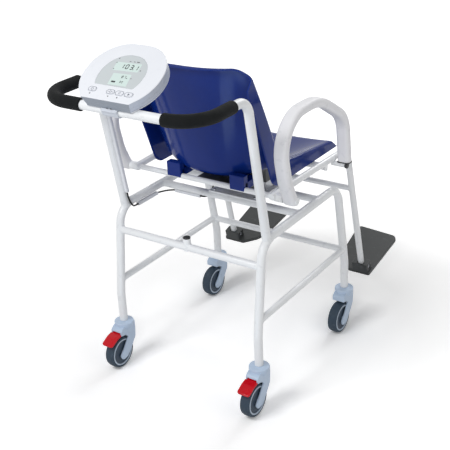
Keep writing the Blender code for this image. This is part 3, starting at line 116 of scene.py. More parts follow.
world = bpy.data.worlds.new("studio")
bpy.context.scene.world = world
world.use_nodes = True
world_tree = world.node_tree
background = world_tree.nodes["Background"]
background.inputs["Color"].default_value = (*WHITE, 1.0)
strength = wired(world_tree, "MapRange", "Result",
                 {"Value": seen_directly(world_tree), "To Min": AMBIENT, "To Max": 1.0})
world_tree.links.new(strength, background.inputs["Strength"])

floor_mesh = bpy.data.meshes.new("floor")
floor_mesh.from_pydata([(x * FLOOR_HALF, y * FLOOR_HALF, -FLOOR_DROP)
                        for x, y in ((-1, -1), (1, -1), (1, 1), (-1, 1))], [], [(0, 1, 2, 3)])
floor = bpy.data.objects.new("floor", floor_mesh)
bpy.context.scene.collection.objects.link(floor)
floor_look = bpy.data.materials.new("studio_floor")
floor_look.use_nodes = True
floor_tree = floor_look.node_tree
floor_tree.nodes.remove(floor_tree.nodes["Principled BSDF"])
away = wired(floor_tree, "VectorMath", "Value",
             {0: wired(floor_tree, "TexCoord", "Object", {})}, operation="LENGTH")
lift = wired(floor_tree, "MapRange", "Result",
             {"Value": away, "From Min": SHADE_FROM, "From Max": SHADE_TO,
              "To Min": FLOOR_SHADE, "To Max": FAR_SHADE})
shade = wired(floor_tree, "Mix", 2, {0: seen_directly(floor_tree), 7: lift,
                                     6: (FLOOR_GREY, FLOOR_GREY, FLOOR_GREY, 1.0)},
              data_type="RGBA")
matt = wired(floor_tree, "BsdfDiffuse", "BSDF", {"Color": shade})
floor_tree.links.new(matt, floor_tree.nodes["Material Output"].inputs["Surface"])
floor_mesh.materials.append(floor_look)

for lamp_name, place, aim, size, power, tint in LAMPS:
    lamp_data = bpy.data.lights.new(lamp_name, "AREA")
    lamp_data.size = size
    lamp_data.energy = power
    lamp_data.color = tint
    lamp = bpy.data.objects.new(lamp_name, lamp_data)
    lamp.location = place
    lamp.rotation_euler = (Vector(aim) - Vector(place)).to_track_quat("-Z", "Y").to_euler()
    bpy.context.scene.collection.objects.link(lamp)

# The wheeled frame's two sides are each one steel tube of 25 mm, bent into rear leg, top rail
# and front leg. They are powder coated in white, with the fine skin of such a coat.
TRACK = 0.487
HALF_TRACK = TRACK / 2
HALF_BASE = 0.255
FRAME_TUBE = 0.025
RAIL_Z = 0.509
KINK_Z = 0.235
REAR_LEAN = 0.034
FRONT_LEAN = 0.051
CORNER_BEND = 0.060
KINK_BEND = 0.080
LEG_FOOT_Z = 0.1443
TUBE_SIDES = 32
ARC_STEP = math.radians(4)
EDGE_ROUND = 0.0010
SIDES = (("left", -1), ("right", 1))
COLOUR_NOISE = (9.0, 3.0)           # scale and detail
WEAR_NOISE = (55.0, 9.0)
ROUGH_NOISE = (38.0, 4.0)
WEAR_FROM, WEAR_TO = 0.60, 0.68
GRAIN_DETAIL = 2.0
GRAIN_STRENGTH = 0.8
END_STEPS = 6                       # points of a tube's rounded end
END_LIMIT = 0.98                    # the most of a tube's radius that its rounding takes
SOFT_FROM = math.radians(40)        # a softened piece's edges that are sharper than this


def linear(red, green, blue):
    """A screen colour from 0 to 255 as light: the share plus 0.055, over 1.055, to the 2.4."""
    return tuple(((value / 255 + 0.055) / 1.055) ** 2.4 for value in (red, green, blue))


def finish(name, colour, roughness, metallic=0.0, coat=0.0, specular=0.5, grain=1400.0,
           depth=0.00004, mottle=0.04, uneven=0.10, wear=None, worn=0.35, ribs=None):
    """A moulded or coated surface.

    Its colour drifts either side of the given one with a slow noise, its roughness drifts with
    a second noise, and its height follows a fine grain. Wear mixes in a second colour where a
    sharp noise passes a threshold, and ribs add a wave of a given (scale, depth, direction).
    """
    look = bpy.data.materials.new(name)
    look.use_nodes = True
    tree = look.node_tree
    shader = tree.nodes["Principled BSDF"]
    for socket, value in (("Metallic", metallic), ("Coat Weight", coat),
                          ("Coat Roughness", roughness / 3), ("Specular IOR Level", specular)):
        shader.inputs[socket].default_value = value
    place = wired(tree, "TexCoord", "Object", {})

    def noise(scale, detail):
        return wired(tree, "TexNoise", "Fac",
                     {"Scale": scale, "Detail": detail, "Vector": place})

    def mixed(factor, first, second):
        return wired(tree, "Mix", 2, {0: factor, 6: first, 7: second}, data_type="RGBA")

    def ranged(value, low, high, from_low=0.3, from_high=0.7):
        return wired(tree, "MapRange", "Result",
                     {"Value": value, "From Min": from_low, "From Max": from_high,
                      "To Min": low, "To Max": high})

    shown = mixed(ranged(noise(*COLOUR_NOISE), 0.0, 1.0),
                  [*(c * (1 - mottle) for c in colour), 1.0],
                  [*(min(1.0, c * (1 + mottle)) for c in colour), 1.0])
    if wear:
        shown = mixed(ranged(noise(*WEAR_NOISE), 0.0, worn, WEAR_FROM, WEAR_TO), shown,
                      (*wear, 1.0))
    tree.links.new(shown, shader.inputs["Base Color"])
    dull = ranged(noise(*ROUGH_NOISE), roughness * (1 - uneven), roughness * (1 + uneven))
    tree.links.new(dull, shader.inputs["Roughness"])
    relief = {"Distance": depth, "Strength": GRAIN_STRENGTH,
              "Height": noise(grain, GRAIN_DETAIL)}
    if ribs:
        scale, rib_depth, direction = ribs
        wave = wired(tree, "TexWave", "Fac", {"Scale": scale, "Vector": place},
                     bands_direction=direction)
        relief["Normal"] = wired(tree, "Bump", "Normal",
                                 {"Distance": rib_depth, "Height": wave})
    tree.links.new(wired(tree, "Bump", "Normal", relief), shader.inputs["Normal"])
    return look


def unit(vectors):
    """Vectors over their own lengths."""
    vectors = np.asarray(vectors, float)
    return vectors / np.linalg.norm(vectors, axis=-1, keepdims=True)


def bent(corners, steps=0):
    """A path of straight runs joined by arcs, from (point, radius) corners.

    A point of an arc is its centre, plus the starting arm times the cosine of the angle
    turned, plus the arm across it times the sine.
    """
    points = [np.array(point, float) for point, radius in corners]
    path = [points[0][None]]
    for before, here, after, (_, radius) in zip(points, points[1:], points[2:], corners[1:]):
        behind, ahead = unit(before - here), unit(after - here)
        turn = math.pi - math.acos(max(-1.0, min(1.0, float(behind @ ahead))))
        if radius <= 0 or turn < 1e-4:
            path.append(here[None])
            continue
        centre = here + unit(behind + ahead) * radius / math.cos(turn / 2)
        start = here + behind * radius * math.tan(turn / 2) - centre
        count = steps or max(2, math.ceil(turn / ARC_STEP))
        angle = np.linspace(0, turn, count + 1)[:, None]
        path.append(centre + start * np.cos(angle) - behind * radius * np.sin(angle))
    path.append(points[-1][None])
    return np.concatenate(path)


def closed(corners, steps=0):
    """A closed outline of (point, radius) corners with its corners turned into arcs."""
    ring = [corners[-1], *corners, corners[0]]
    return bent(ring, steps)[1:-1]


def circle(diameter, sides=TUBE_SIDES):
    """Points (radius times cosine, radius times sine) round a circle."""
    angle = np.arange(sides) * 2 * math.pi / sides
    return np.stack([np.cos(angle), np.sin(angle)], 1) * diameter / 2


def skin(grid, wrap=False):
    """A shape over a grid of rings: each ring joins the next by quads, and the ends close."""
    rows, columns = grid.shape[:2]
    number = np.arange(rows * columns).reshape(rows, columns)
    near, far = (number, np.roll(number, -1, 0)) if wrap else (number[:-1], number[1:])
    quads = np.stack([near, np.roll(near, -1, 1), np.roll(far, -1, 1), far], -1)
    faces = quads.reshape(-1, 4).tolist()
    if not wrap:
        faces += [number[0][::-1].tolist(), number[-1].tolist()]
    return grid.reshape(-1, 3), faces


def carried(path, section, facing=(0, 0, 1), swell=None, wrap=False):
    """A closed flat section carried along a path.

    A point is the path's point, plus the section's first number along the sideways direction,
    plus its second along the upward one. The upward direction loses at each step the part of
    it that lies along the path, so it turns no more than the path does. Swell gives each ring
    its own scale in both directions.
    """
    path = np.asarray(path, float)
    if wrap:
        ahead = unit(np.roll(path, -1, 0) - np.roll(path, 1, 0))
    else:
        ahead = unit(np.gradient(path, axis=0))
    over = np.zeros_like(path)
    current = np.array(facing, float)
    for number, direction in enumerate(ahead):
        current = unit(current - direction * (current @ direction))
        over[number] = current
    across = np.cross(ahead, over)
    swell = np.ones((len(path), 2)) if swell is None else np.broadcast_to(swell, (len(path), 2))
    rings = (path[:, None] + across[:, None] * (section[None, :, :1] * swell[:, None, :1])
             + over[:, None] * (section[None, :, 1:] * swell[:, None, 1:]))
    return skin(rings, wrap)


def tube(path, diameter, start_round=EDGE_ROUND, end_round=EDGE_ROUND, sides=TUBE_SIDES):
    """A round bar along a path, its two ends rounded: the radius falls by the rounding times
    one less the cosine, while the end runs on by the rounding times the sine."""
    path = np.asarray(path, float)
    radius = diameter / 2
    angle = np.linspace(0, math.pi / 2, END_STEPS)
    first, last = unit(path[0] - path[1]), unit(path[-1] - path[-2])
    begin = path[0] - first * (start_round * (1 - np.sin(angle[::-1, None])))
    finish_at = path[-1] - last * (end_round * (1 - np.sin(angle[:, None])))
    most = radius * END_LIMIT
    begin_scale = 1 - np.minimum(start_round, most) / radius * (1 - np.cos(angle[::-1]))
    end_scale = 1 - np.minimum(end_round, most) / radius * (1 - np.cos(angle))
    line = np.concatenate([begin, path[1:-1], finish_at])
    scale = np.concatenate([begin_scale, np.ones(len(path) - 2), end_scale])
    facing = (1, 0, 0) if abs(first[0]) < 0.7 else (0, 0, 1)
    return carried(line, circle(diameter, sides), facing, np.stack([scale, scale], 1))


def thing(name, shapes):
    """A mesh object from (points, faces) shapes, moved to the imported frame, faces outwards."""
    starts = np.cumsum([0] + [len(points) for points, faces in shapes])
    points = np.concatenate([points for points, faces in shapes]) + (0, SHIFT_Y, 0)
    faces = [[corner + int(start) for corner in face]
             for start, (_, own) in zip(starts, shapes) for face in own]
    mesh = bpy.data.meshes.new(name)
    mesh.from_pydata(points.tolist(), [], faces)
    work = bmesh.new()
    work.from_mesh(mesh)
    bmesh.ops.remove_doubles(work, verts=work.verts, dist=1e-6)
    bmesh.ops.recalc_face_normals(work, faces=work.faces)
    work.to_mesh(mesh)
    work.free()
    made = bpy.data.objects.new(name, mesh)
    bpy.context.scene.collection.objects.link(made)
    return made


def piece(name, shapes, look, body, stands_for=(), sharp=32, soften=0.0, even=False):
    """A finished piece that rides on a body, stands for CAD nodes and has its own finish."""
    made = thing(name, shapes)
    made.data.materials.append(look)
    made.data.shade_smooth()
    made.data.set_sharp_from_angle(angle=math.radians(sharp))
    if soften:
        bevel = made.modifiers.new("edges", "BEVEL")
        bevel.width = soften
        bevel.segments = 3
        bevel.limit_method = "ANGLE"
        bevel.angle_limit = SOFT_FROM
    if even:
        weighted = made.modifiers.new("even", "WEIGHTED_NORMAL")
        weighted.keep_sharp = True
    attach(made, body)
    if stands_for:
        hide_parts(*stands_for)
    return made


white_coat = finish("white_powder_coat", linear(238, 240, 242), 0.34, coat=0.15, grain=1100,
                    depth=0.00005, mottle=0.02, wear=linear(205, 207, 212), worn=0.25)


def painted(name, shapes, *nodes):
    """A white painted piece of a frame, in place of its CAD nodes."""
    return piece(name, shapes, white_coat, "chassis", nodes)


def side_path(x):
    """One side frame's line: rear leg, top rail, front leg."""
    return bent([((x, -HALF_BASE, LEG_FOOT_Z), 0), ((x, -HALF_BASE, KINK_Z), KINK_BEND),
                 ((x, REAR_LEAN - HALF_BASE, RAIL_Z), CORNER_BEND),
                 ((x, HALF_BASE - FRONT_LEAN, RAIL_Z), CORNER_BEND),
                 ((x, HALF_BASE, KINK_Z), KINK_BEND), ((x, HALF_BASE, LEG_FOOT_Z), 0)])


def rear_leg(x, z):
    """A point on a rear leg's leaning part."""
    return np.array((x, REAR_LEAN * (z - KINK_Z) / (RAIL_Z - KINK_Z) - HALF_BASE, z))


def front_leg(x, z):
    """A point on a front leg's leaning part."""
    return np.array((x, HALF_BASE - FRONT_LEAN * (z - KINK_Z) / (RAIL_Z - KINK_Z), z))


for side, sign in SIDES:
    painted("frame_side_" + side, [tube(side_path(sign * HALF_TRACK), FRAME_TUBE)],
            "side_frame_" + side)

# Cross tubes tie the two sides: two under the scale, one low at the back with a short socket
# for a pole, one low at the front, and a stretcher along each side. Each is coped and welded.
REAR_BAR_Y = -0.018
FRONT_BAR_Y = 0.092
BAR_D = 0.022
LOW_REAR_Z = 0.440
LOW_FRONT_Z = 0.279
LOW_FRONT_D = 0.020
STRETCHER_Z = 0.281
STRETCHER_D = 0.020
SOCKET_TOP = 0.468
SOCKET_DROP = 0.010
WELD_BEAD = 0.0034
WELD_STEPS = 72
RIPPLE, SLOW_RIPPLE = 0.10, 0.06

welds = []


def weld(centre, along, across, bar_d, tube_d):
    """A ring of weld where a bar meets a tube's side.

    Round the bar by an angle, a point stands off the tube's axis by the root of the tube's
    radius squared less the bar's radius times the sine squared. The bead's thickness ripples.
    """
    centre, along = np.array(centre, float), unit(along)
    level = unit(np.array(across, float) - along * (np.array(across, float) @ along))
    over = np.cross(along, level)
    angle = (np.arange(WELD_STEPS) * 2 * math.pi / WELD_STEPS)[:, None]
    bar_r, tube_r = bar_d / 2, tube_d / 2
    stand_off = np.sqrt(np.maximum(tube_r ** 2 - (bar_r * np.sin(angle)) ** 2, 0))
    line = (centre + along * stand_off + level * bar_r * np.cos(angle)
            + over * bar_r * np.sin(angle))
    ripple = 1 + RIPPLE * np.sin(18 * angle) + SLOW_RIPPLE * np.sin(5 * angle + 1)
    welds.append(carried(line, circle(WELD_BEAD, 10), along, ripple, wrap=True))


for name, y in (("upper_crossbar_rear", REAR_BAR_Y), ("upper_crossbar_front", FRONT_BAR_Y)):
    painted(name + "_tube", [tube([(-HALF_TRACK, y, RAIL_Z), (HALF_TRACK, y, RAIL_Z)], BAR_D)],
            name)
    for side, sign in SIDES:
        weld((sign * HALF_TRACK, y, RAIL_Z), (-sign, 0, 0), (0, 1, 0), BAR_D, FRAME_TUBE)
low_y = rear_leg(0, LOW_REAR_Z)[1]
painted("low_rear_crossbar_tube",
        [tube([(-HALF_TRACK, low_y, LOW_REAR_Z), (HALF_TRACK, low_y, LOW_REAR_Z)], BAR_D),
         tube([(0, low_y, LOW_REAR_Z - SOCKET_DROP), (0, low_y, SOCKET_TOP)], BAR_D)],
        "lower_crossbar_rear")
weld((0, low_y, LOW_REAR_Z), (0, 0, 1), (1, 0, 0), BAR_D, BAR_D)
front_y = front_leg(0, LOW_FRONT_Z)[1]
painted("low_front_crossbar_tube",
        [tube([(-HALF_TRACK, front_y, LOW_FRONT_Z), (HALF_TRACK, front_y, LOW_FRONT_Z)],
              LOW_FRONT_D)], "lower_crossbar_front")
for side, sign in SIDES:
    x = sign * HALF_TRACK
    leg_line = rear_leg(x, RAIL_Z) - rear_leg(x, KINK_Z)
    weld((x, low_y, LOW_REAR_Z), (-sign, 0, 0), leg_line, BAR_D, FRAME_TUBE)
    fore_line = front_leg(x, RAIL_Z) - front_leg(x, KINK_Z)
    weld((x, front_y, LOW_FRONT_Z), (-sign, 0, 0), fore_line, LOW_FRONT_D, FRAME_TUBE)
    start, end = rear_leg(x, STRETCHER_Z), front_leg(x, STRETCHER_Z)
    painted("stretcher_tube_" + side, [tube([start, end], STRETCHER_D)], "stretcher_" + side)
    weld(start, (0, 1, 0), leg_line, STRETCHER_D, FRAME_TUBE)
    weld(end, (0, -1, 0), fore_line, STRETCHER_D, FRAME_TUBE)

# A black rubber plug closes the pole socket. It is pressed in, with a domed rim on top.
PLUG_RIM = 0.004
ON_AXIS = 1e-4                      # a profile's last radius, as good as zero
black_rubber = finish("black_rubber", linear(30, 31, 34), 0.62, grain=700, depth=0.00008,
                      mottle=0.12, wear=linear(70, 72, 76), worn=0.2)


def turned(profile, centre, axis=(0, 0, 1), sides=64, wrap=False):
    """A profile of (radius, height) points turned about an axis: a point is the centre, plus
    the height along the axis, plus the radius round it."""
    axis = unit(axis)
    first = unit(np.cross(axis, (0, 1, 0) if abs(axis[1]) < 0.9 else (0, 0, 1)))
    second = np.cross(axis, first)
    profile = np.asarray(profile, float)
    ring = circle(2, sides)
    rim = ring[:, :1] * first + ring[:, 1:] * second
    rings = (np.asarray(centre, float) + profile[:, None, 1:] * axis
             + profile[:, None, :1] * rim[None])
    return skin(rings, wrap)


plug_r = BAR_D / 2
piece("pole_socket_plug",
      [turned(bent([((ON_AXIS, -0.012), 0), ((plug_r - 0.0027, -0.012), 0.001),
                    ((plug_r - 0.0025, 0.0003), 0), ((plug_r, 0.0003), 0.0002),
                    ((plug_r, PLUG_RIM), 0.0028), ((ON_AXIS, PLUG_RIM), 0)]),
              (0, low_y, SOCKET_TOP))],
      black_rubber, "chassis", ["socket_plug"])

# The push handle is one bent tube that stands on both rails, leans back and runs round behind
# the seat. Its two rear corners carry soft black foam sleeves, and the display sits between.
HANDLE_Z = 0.917
HANDLE_FOOT_Y = -0.197
HANDLE_SLOPE = 0.178
HANDLE_REAR_Y = -0.480
HANDLE_TOP_BEND = 0.045
HANDLE_CORNER_BEND = 0.088
GRIP_D = 0.034
GRIP_FRONT_Y = -0.330
GRIP_ENDS = {"left": -0.100, "right": 0.149}
GRIP_LIP = 0.0030

handle_top_y = HANDLE_FOOT_Y - HANDLE_SLOPE * (HANDLE_Z - RAIL_Z)
corners = []
for sign in (1, -1):
    x = sign * HALF_TRACK
    run = [((x, HANDLE_FOOT_Y, RAIL_Z - FRAME_TUBE / 3), 0),
           ((x, handle_top_y, HANDLE_Z), HANDLE_TOP_BEND),
           ((x, HANDLE_REAR_Y, HANDLE_Z), HANDLE_CORNER_BEND)]
    corners += run if sign > 0 else run[::-1]
painted("push_handle_tube", [tube(bent(corners), FRAME_TUBE)], "push_handle")
for side, sign in SIDES:
    weld((sign * HALF_TRACK, HANDLE_FOOT_Y, RAIL_Z), (0, -HANDLE_SLOPE, 1), (0, 1, 0),
         FRAME_TUBE, FRAME_TUBE)

foam = finish("black_foam", linear(17, 19, 20), 0.80, specular=0.15, grain=2600, depth=0.00028,
              mottle=0.18, uneven=0.06)
for side, sign in SIDES:
    line = bent([((sign * HALF_TRACK, GRIP_FRONT_Y, HANDLE_Z), 0),
                 ((sign * HALF_TRACK, HANDLE_REAR_Y, HANDLE_Z), HANDLE_CORNER_BEND),
                 ((GRIP_ENDS[side], HANDLE_REAR_Y, HANDLE_Z), 0)])
    sleeve = piece("foam_sleeve_" + side,
                   [tube(line, GRIP_D, GRIP_LIP, GRIP_LIP, 40)], foam,
                   "chassis", ["grip_" + side])

# The seat frame hangs only on the load cell. Each side is one tube bent from seat rail to foot
# tube, with a stub that stops the armrest and a domed lower end; three bars tie the sides.
SEAT_TUBE = 0.020
SEAT_RAIL_Z = 0.611
SEAT_RAIL_REAR_X = 0.232
SEAT_RAIL_FRONT_X = 0.2445
SEAT_RAIL_REAR_Y = -0.152
SEAT_BEND_Y = 0.261
SEAT_BEND = 0.050
FOOT_SLOPE = 0.243
FOOT_PIN_X = 0.248
FOOT_PIN_Z = 0.1718
FOOT_PIN_Y = SEAT_BEND_Y + FOOT_SLOPE * (SEAT_RAIL_Z - FOOT_PIN_Z)
PIVOT_Y = -0.134
PIVOT_Z = 0.606
SEAT_BARS = {"seat_bar_rear": (PIVOT_Y, PIVOT_Z, 0.016),         # along, up, diameter
             "seat_bar_front": (0.140, 0.594, 0.020)}
FOOT_BAR_Z = 0.468
FOOT_BAR_D = 0.018
ARM_STOP_Y = 0.171
ARM_STOP_Z = 0.597
ARM_STOP_D = 0.015
ARM_STOP_END_X = 0.292


def seat_rail_x(y):
    """Half the width between the seat rails' axes, which widen evenly forwards."""
    share = (y - SEAT_RAIL_REAR_Y) / (SEAT_BEND_Y - SEAT_RAIL_REAR_Y)
    return SEAT_RAIL_REAR_X + (SEAT_RAIL_FRONT_X - SEAT_RAIL_REAR_X) * share


def foot_tube(sign, z):
    """A point on a foot tube's axis."""
    share = (SEAT_RAIL_Z - z) / (SEAT_RAIL_Z - FOOT_PIN_Z)
    x = SEAT_RAIL_FRONT_X + (FOOT_PIN_X - SEAT_RAIL_FRONT_X) * share
    return np.array((sign * x, SEAT_BEND_Y + FOOT_SLOPE * (SEAT_RAIL_Z - z), z))


foot_line = unit(foot_tube(1, FOOT_PIN_Z) - foot_tube(1, SEAT_RAIL_Z))
for side, sign in SIDES:
    pin = np.array((sign * FOOT_PIN_X, FOOT_PIN_Y, FOOT_PIN_Z))
    down = foot_line * (sign, 1, 1)
    rail_line = bent([((sign * SEAT_RAIL_REAR_X, SEAT_RAIL_REAR_Y, SEAT_RAIL_Z), 0),
                      ((sign * SEAT_RAIL_FRONT_X, SEAT_BEND_Y, SEAT_RAIL_Z), SEAT_BEND),
                      (pin + down * SEAT_TUBE / 2, 0)])
    stop_x = sign * seat_rail_x(ARM_STOP_Y)
    painted("seat_rail_tube_" + side,
            [tube(rail_line, SEAT_TUBE, 2 * EDGE_ROUND, SEAT_TUBE / 2),
             tube([(stop_x, ARM_STOP_Y, ARM_STOP_Z),
                   (sign * ARM_STOP_END_X, ARM_STOP_Y, ARM_STOP_Z)], ARM_STOP_D)],
            "seat_rail_" + side)
    weld((stop_x, ARM_STOP_Y, SEAT_RAIL_Z), (sign, 0, -0.6), (0, 1, 0), ARM_STOP_D, SEAT_TUBE)
    for y, z, diameter in SEAT_BARS.values():
        weld((sign * seat_rail_x(y), y, z), (-sign, 0, 0), (0, 1, 0), diameter, SEAT_TUBE * 0.9)
    weld(foot_tube(sign, FOOT_BAR_Z), (-sign, 0, 0), down, FOOT_BAR_D, SEAT_TUBE)
for name, (y, z, diameter) in SEAT_BARS.items():
    x = seat_rail_x(y)
    painted(name + "_tube", [tube([(-x, y, z), (x, y, z)], diameter)], name)
painted("foot_crossbar_tube",
        [tube([foot_tube(-1, FOOT_BAR_Z), foot_tube(1, FOOT_BAR_Z)], FOOT_BAR_D)],
        "foot_crossbar")
piece("weld_beads", welds, white_coat, "chassis", sharp=60)

# Each armrest is a loop of light grey foam skin on a hidden core, flat-sided with soft edges.
# Its rear eye turns on a pin through a sleeve on the seat rail; its front foot rests on a pad.
ARM_X = 0.281
ARM_W = 0.040
ARM_T = 0.027
ARM_EYE_D = 0.030
ARM_REACH = 0.310
ARM_RISE = 0.2355
ARM_EDGE = 0.0115
ARM_SHARES = ((-0.084, 0.250, 0.42), (-0.213, 1.0, 0.42), (0.471, 1.0, 0.80),
              (0.948, 0.611, 0.40))
EYE_RUN = (0.0, 0.006, 0.012, 0.020)                  # along from the eye's pin,
EYE_SWELL = (1.10, 1.06, 1.01)                        # and how thick after the pin
FOOT_RUN = ((0.030, 1.0, 1.0), (0.012, 1.0, 1.0), (0.006, 1.0, 1.0), (0.003, 0.99, 0.99),
            (0.001, 0.96, 0.97), (0.0, 0.90, 0.94))   # back from the foot, thick and wide
SLEEVE_D = 0.025
ARM_PIN_D = 0.012
ARM_HEAD_D = 0.019
ARM_HEAD_T = 0.004
PAD_T = 0.0025
GAP = 0.0003
ARM_FOOT_Y = PIVOT_Y + ARM_REACH
ARM_FOOT_Z = ARM_STOP_Z + ARM_STOP_D / 2 + GAP + PAD_T + GAP


def rounded_box(width, height, edge, steps=8):
    """A rectangle's outline about its middle with its four corners rounded."""
    w, h = width / 2, height / 2
    return closed([((-w, -h), edge), ((w, -h), edge), ((w, h), edge), ((-w, h), edge)], steps)


arm_skin = finish("light_grey_pad_skin", linear(238, 238, 241), 0.50, specular=0.4, grain=1700,
                  depth=0.00007, mottle=0.03, wear=linear(196, 198, 204), worn=0.25)
arm_section = rounded_box(ARM_T, ARM_W, ARM_EDGE)
arm_line = bent([((PIVOT_Y, PIVOT_Z), 0),
                 *[((PIVOT_Y + ARM_REACH * ahead, PIVOT_Z + ARM_RISE * rise), ARM_RISE * bend)
                   for ahead, rise, bend in ARM_SHARES], ((ARM_FOOT_Y, ARM_FOOT_Z), 0)])
eye_r = ARM_EYE_D / 2
first_way = unit(arm_line[1] - arm_line[0])
eye_angle = np.linspace(-math.pi / 2, 0, 12)[:-1]
eye_points = arm_line[0] + first_way * (eye_r * np.sin(eye_angle))[:, None]
near_points = arm_line[0] + first_way * np.array(EYE_RUN)[:, None]
last_way = unit(arm_line[-1] - arm_line[-2])
foot_back, foot_thick, foot_wide = np.array(FOOT_RUN).T
foot_points = arm_line[-1] - last_way * foot_back[:, None]
arm_path = np.concatenate([eye_points, near_points, arm_line[1:-1], foot_points])
plain = np.ones(len(arm_line) - 2)
thick = np.concatenate([np.maximum(np.cos(eye_angle), 0.02) * ARM_EYE_D / ARM_T,
                        [ARM_EYE_D / ARM_T, *EYE_SWELL], plain, foot_thick])
wide = np.concatenate([0.90 + 0.10 * np.cos(eye_angle), np.ones(len(EYE_RUN)), plain, foot_wide])
inner, outer = ARM_X - ARM_W / 2 - GAP, ARM_X + ARM_W / 2 + GAP
head_r = ARM_HEAD_D / 2
cap = bent([((ON_AXIS, -0.002), 0), ((head_r, -0.002), 0.0002),
            ((head_r, ARM_HEAD_T * 0.6), 0.0016), ((0.0034, ARM_HEAD_T), 0.003),
            ((0.0026, ARM_HEAD_T - 0.0002), 0), ((0.0022, ARM_HEAD_T - 0.0016), 0),
            ((ON_AXIS, ARM_HEAD_T - 0.0016), 0)])
for side, sign in SIDES:
    line = np.insert(arm_path, 0, sign * ARM_X, axis=1)
    points, faces = carried(line, arm_section, (1, 0, 0), np.stack([thick, wide], 1))
    low = points[:, 1] > ARM_FOOT_Y - ARM_W
    points[low, 2] = np.maximum(points[low, 2], ARM_FOOT_Z)
    arm = piece("armrest_pad_" + side, [(points, faces)], arm_skin, "arm_" + side,
                ["armrest_" + side], sharp=50)
    on_rail, pin_start, sleeve_end, pin_end = (
        (sign * x, PIVOT_Y, PIVOT_Z)
        for x in (seat_rail_x(PIVOT_Y), inner - ARM_PIN_D, inner, outer))
    painted("arm_pivot_sleeve_" + side,
            [tube([on_rail, sleeve_end], SLEEVE_D), tube([pin_start, pin_end], ARM_PIN_D),
             turned(cap, pin_end, (sign, 0, 0), 40)], "arm_pivot_" + side)

# Under each armrest's front foot lies a thin rubber pad, moulded in one with a cap that is
# pushed over the end of the stop.
PAD_LOBE_D = 0.022
PAD_LOBE_W = 0.008
PAD_LEVELS = ((0.0, 0.97), (0.1, 1.0), (0.9, 1.0), (1.0, 0.97))     # share up, and scale
plan = rounded_box(ARM_W, ARM_T, 0.006)
low = ARM_STOP_Z + ARM_STOP_D / 2 + GAP
stop_r = ARM_STOP_D / 2 + GAP
lobe_r = PAD_LOBE_D / 2 - 0.002
lobe = bent([((stop_r, 0), 0), ((lobe_r, 0), 0.001), ((lobe_r, PAD_LOBE_W), 0.003),
             ((ON_AXIS, PAD_LOBE_W), 0), ((ON_AXIS, PAD_LOBE_W - PAD_T), 0),
             ((stop_r, PAD_LOBE_W - PAD_T), 0)])
for side, sign in SIDES:
    rings = [np.insert(plan * scale + (sign * ARM_X, ARM_FOOT_Y), 2, low + level * PAD_T, axis=1)
             for level, scale in PAD_LEVELS]
    lobe_at = (sign * (ARM_STOP_END_X - PAD_LOBE_W + PAD_T), ARM_STOP_Y, ARM_STOP_Z)
    piece("stop_cap_" + side,
          [skin(np.stack(rings)), turned(lobe, lobe_at, (sign, 0, 0), 40, wrap=True)],
          black_rubber, "chassis", ["stop_pad_" + side])

# The weighing parts: a white base plate across the two upper crossbars, a milled aluminium
# beam cell bolted on its left end, and a black carrier plate on its right end for the seat.
PLATE_BOLT_D = 0.0100
PLATE_BOLT_T = 0.0042
PLATE_TOP = 0.5253
BOLT_INSET = 0.012
BOLT_PITCH = 0.018
BOLT_ASIDE = 0.008
HEAD_SUNK, HEAD_ROUND = 0.2, 0.45                     # shares of a screw head's depth
SOCKET_MOUTH, SOCKET_FOOT = 0.46, 0.42                # shares of its radius
SOCKET_EDGE, SOCKET_FLOOR = 0.45, 0.40                # and of its depth
milled = finish("milled_aluminium", linear(176, 178, 182), 0.34, metallic=1.0, grain=300,
                depth=0.00002, mottle=0.06, ribs=(260.0, 0.000012, "X"))
black_coat = finish("black_powder_coat", linear(40, 42, 44), 0.42, grain=1200, depth=0.00006,
                    mottle=0.10, wear=linear(86, 88, 90), worn=0.25)
zinc = finish("zinc_plate", linear(196, 198, 203), 0.28, metallic=1.0, grain=900,
              depth=0.00002, mottle=0.07)


def dress(node, look):
    """Gives a CAD node that stays in view its finish, in every one of its slots."""
    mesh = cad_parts[node].data
    if not mesh.materials:
        mesh.materials.append(look)
    for number in range(len(mesh.materials)):
        mesh.materials[number] = look


def bolt(centre, axis, diameter, depth):
    """A screw's head: a low drum with a rounded rim and a small round socket."""
    radius, sunk = diameter / 2, -depth * HEAD_SUNK
    rim = bent([((ON_AXIS, sunk), 0), ((radius, sunk), 0), ((radius, depth), depth * HEAD_ROUND),
                ((radius * SOCKET_MOUTH, depth), 0)])
    socket = np.array([(radius * SOCKET_MOUTH, depth), (radius * SOCKET_FOOT, depth * SOCKET_EDGE),
                       (ON_AXIS, depth * SOCKET_FLOOR)])
    return turned(np.concatenate([rim[:-1], socket]), centre, axis, 24)


dress("load_cell", milled)
dress("load_cell_base", white_coat)
dress("seat_carrier", black_coat)
base_low, base_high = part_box("load_cell_base")
cell_low, cell_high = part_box("load_cell")
carrier_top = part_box("seat_carrier")[1].z
cell_y = (cell_low.y + cell_high.y) / 2 - SHIFT_Y
base_xs = base_low.x + BOLT_INSET, base_high.x - BOLT_INSET
cell_xs = cell_high.x - BOLT_INSET, cell_high.x - BOLT_INSET - BOLT_PITCH
bolts = [bolt((x, y, z), (0, 0, 1), PLATE_BOLT_D, PLATE_BOLT_T)
         for xs, ys, z in ((base_xs, (REAR_BAR_Y, FRONT_BAR_Y), PLATE_TOP),
                           (cell_xs, (cell_y - BOLT_ASIDE, cell_y + BOLT_ASIDE), carrier_top))
         for x in xs for y in ys]
piece("plate_bolts", bolts, zinc, "chassis")

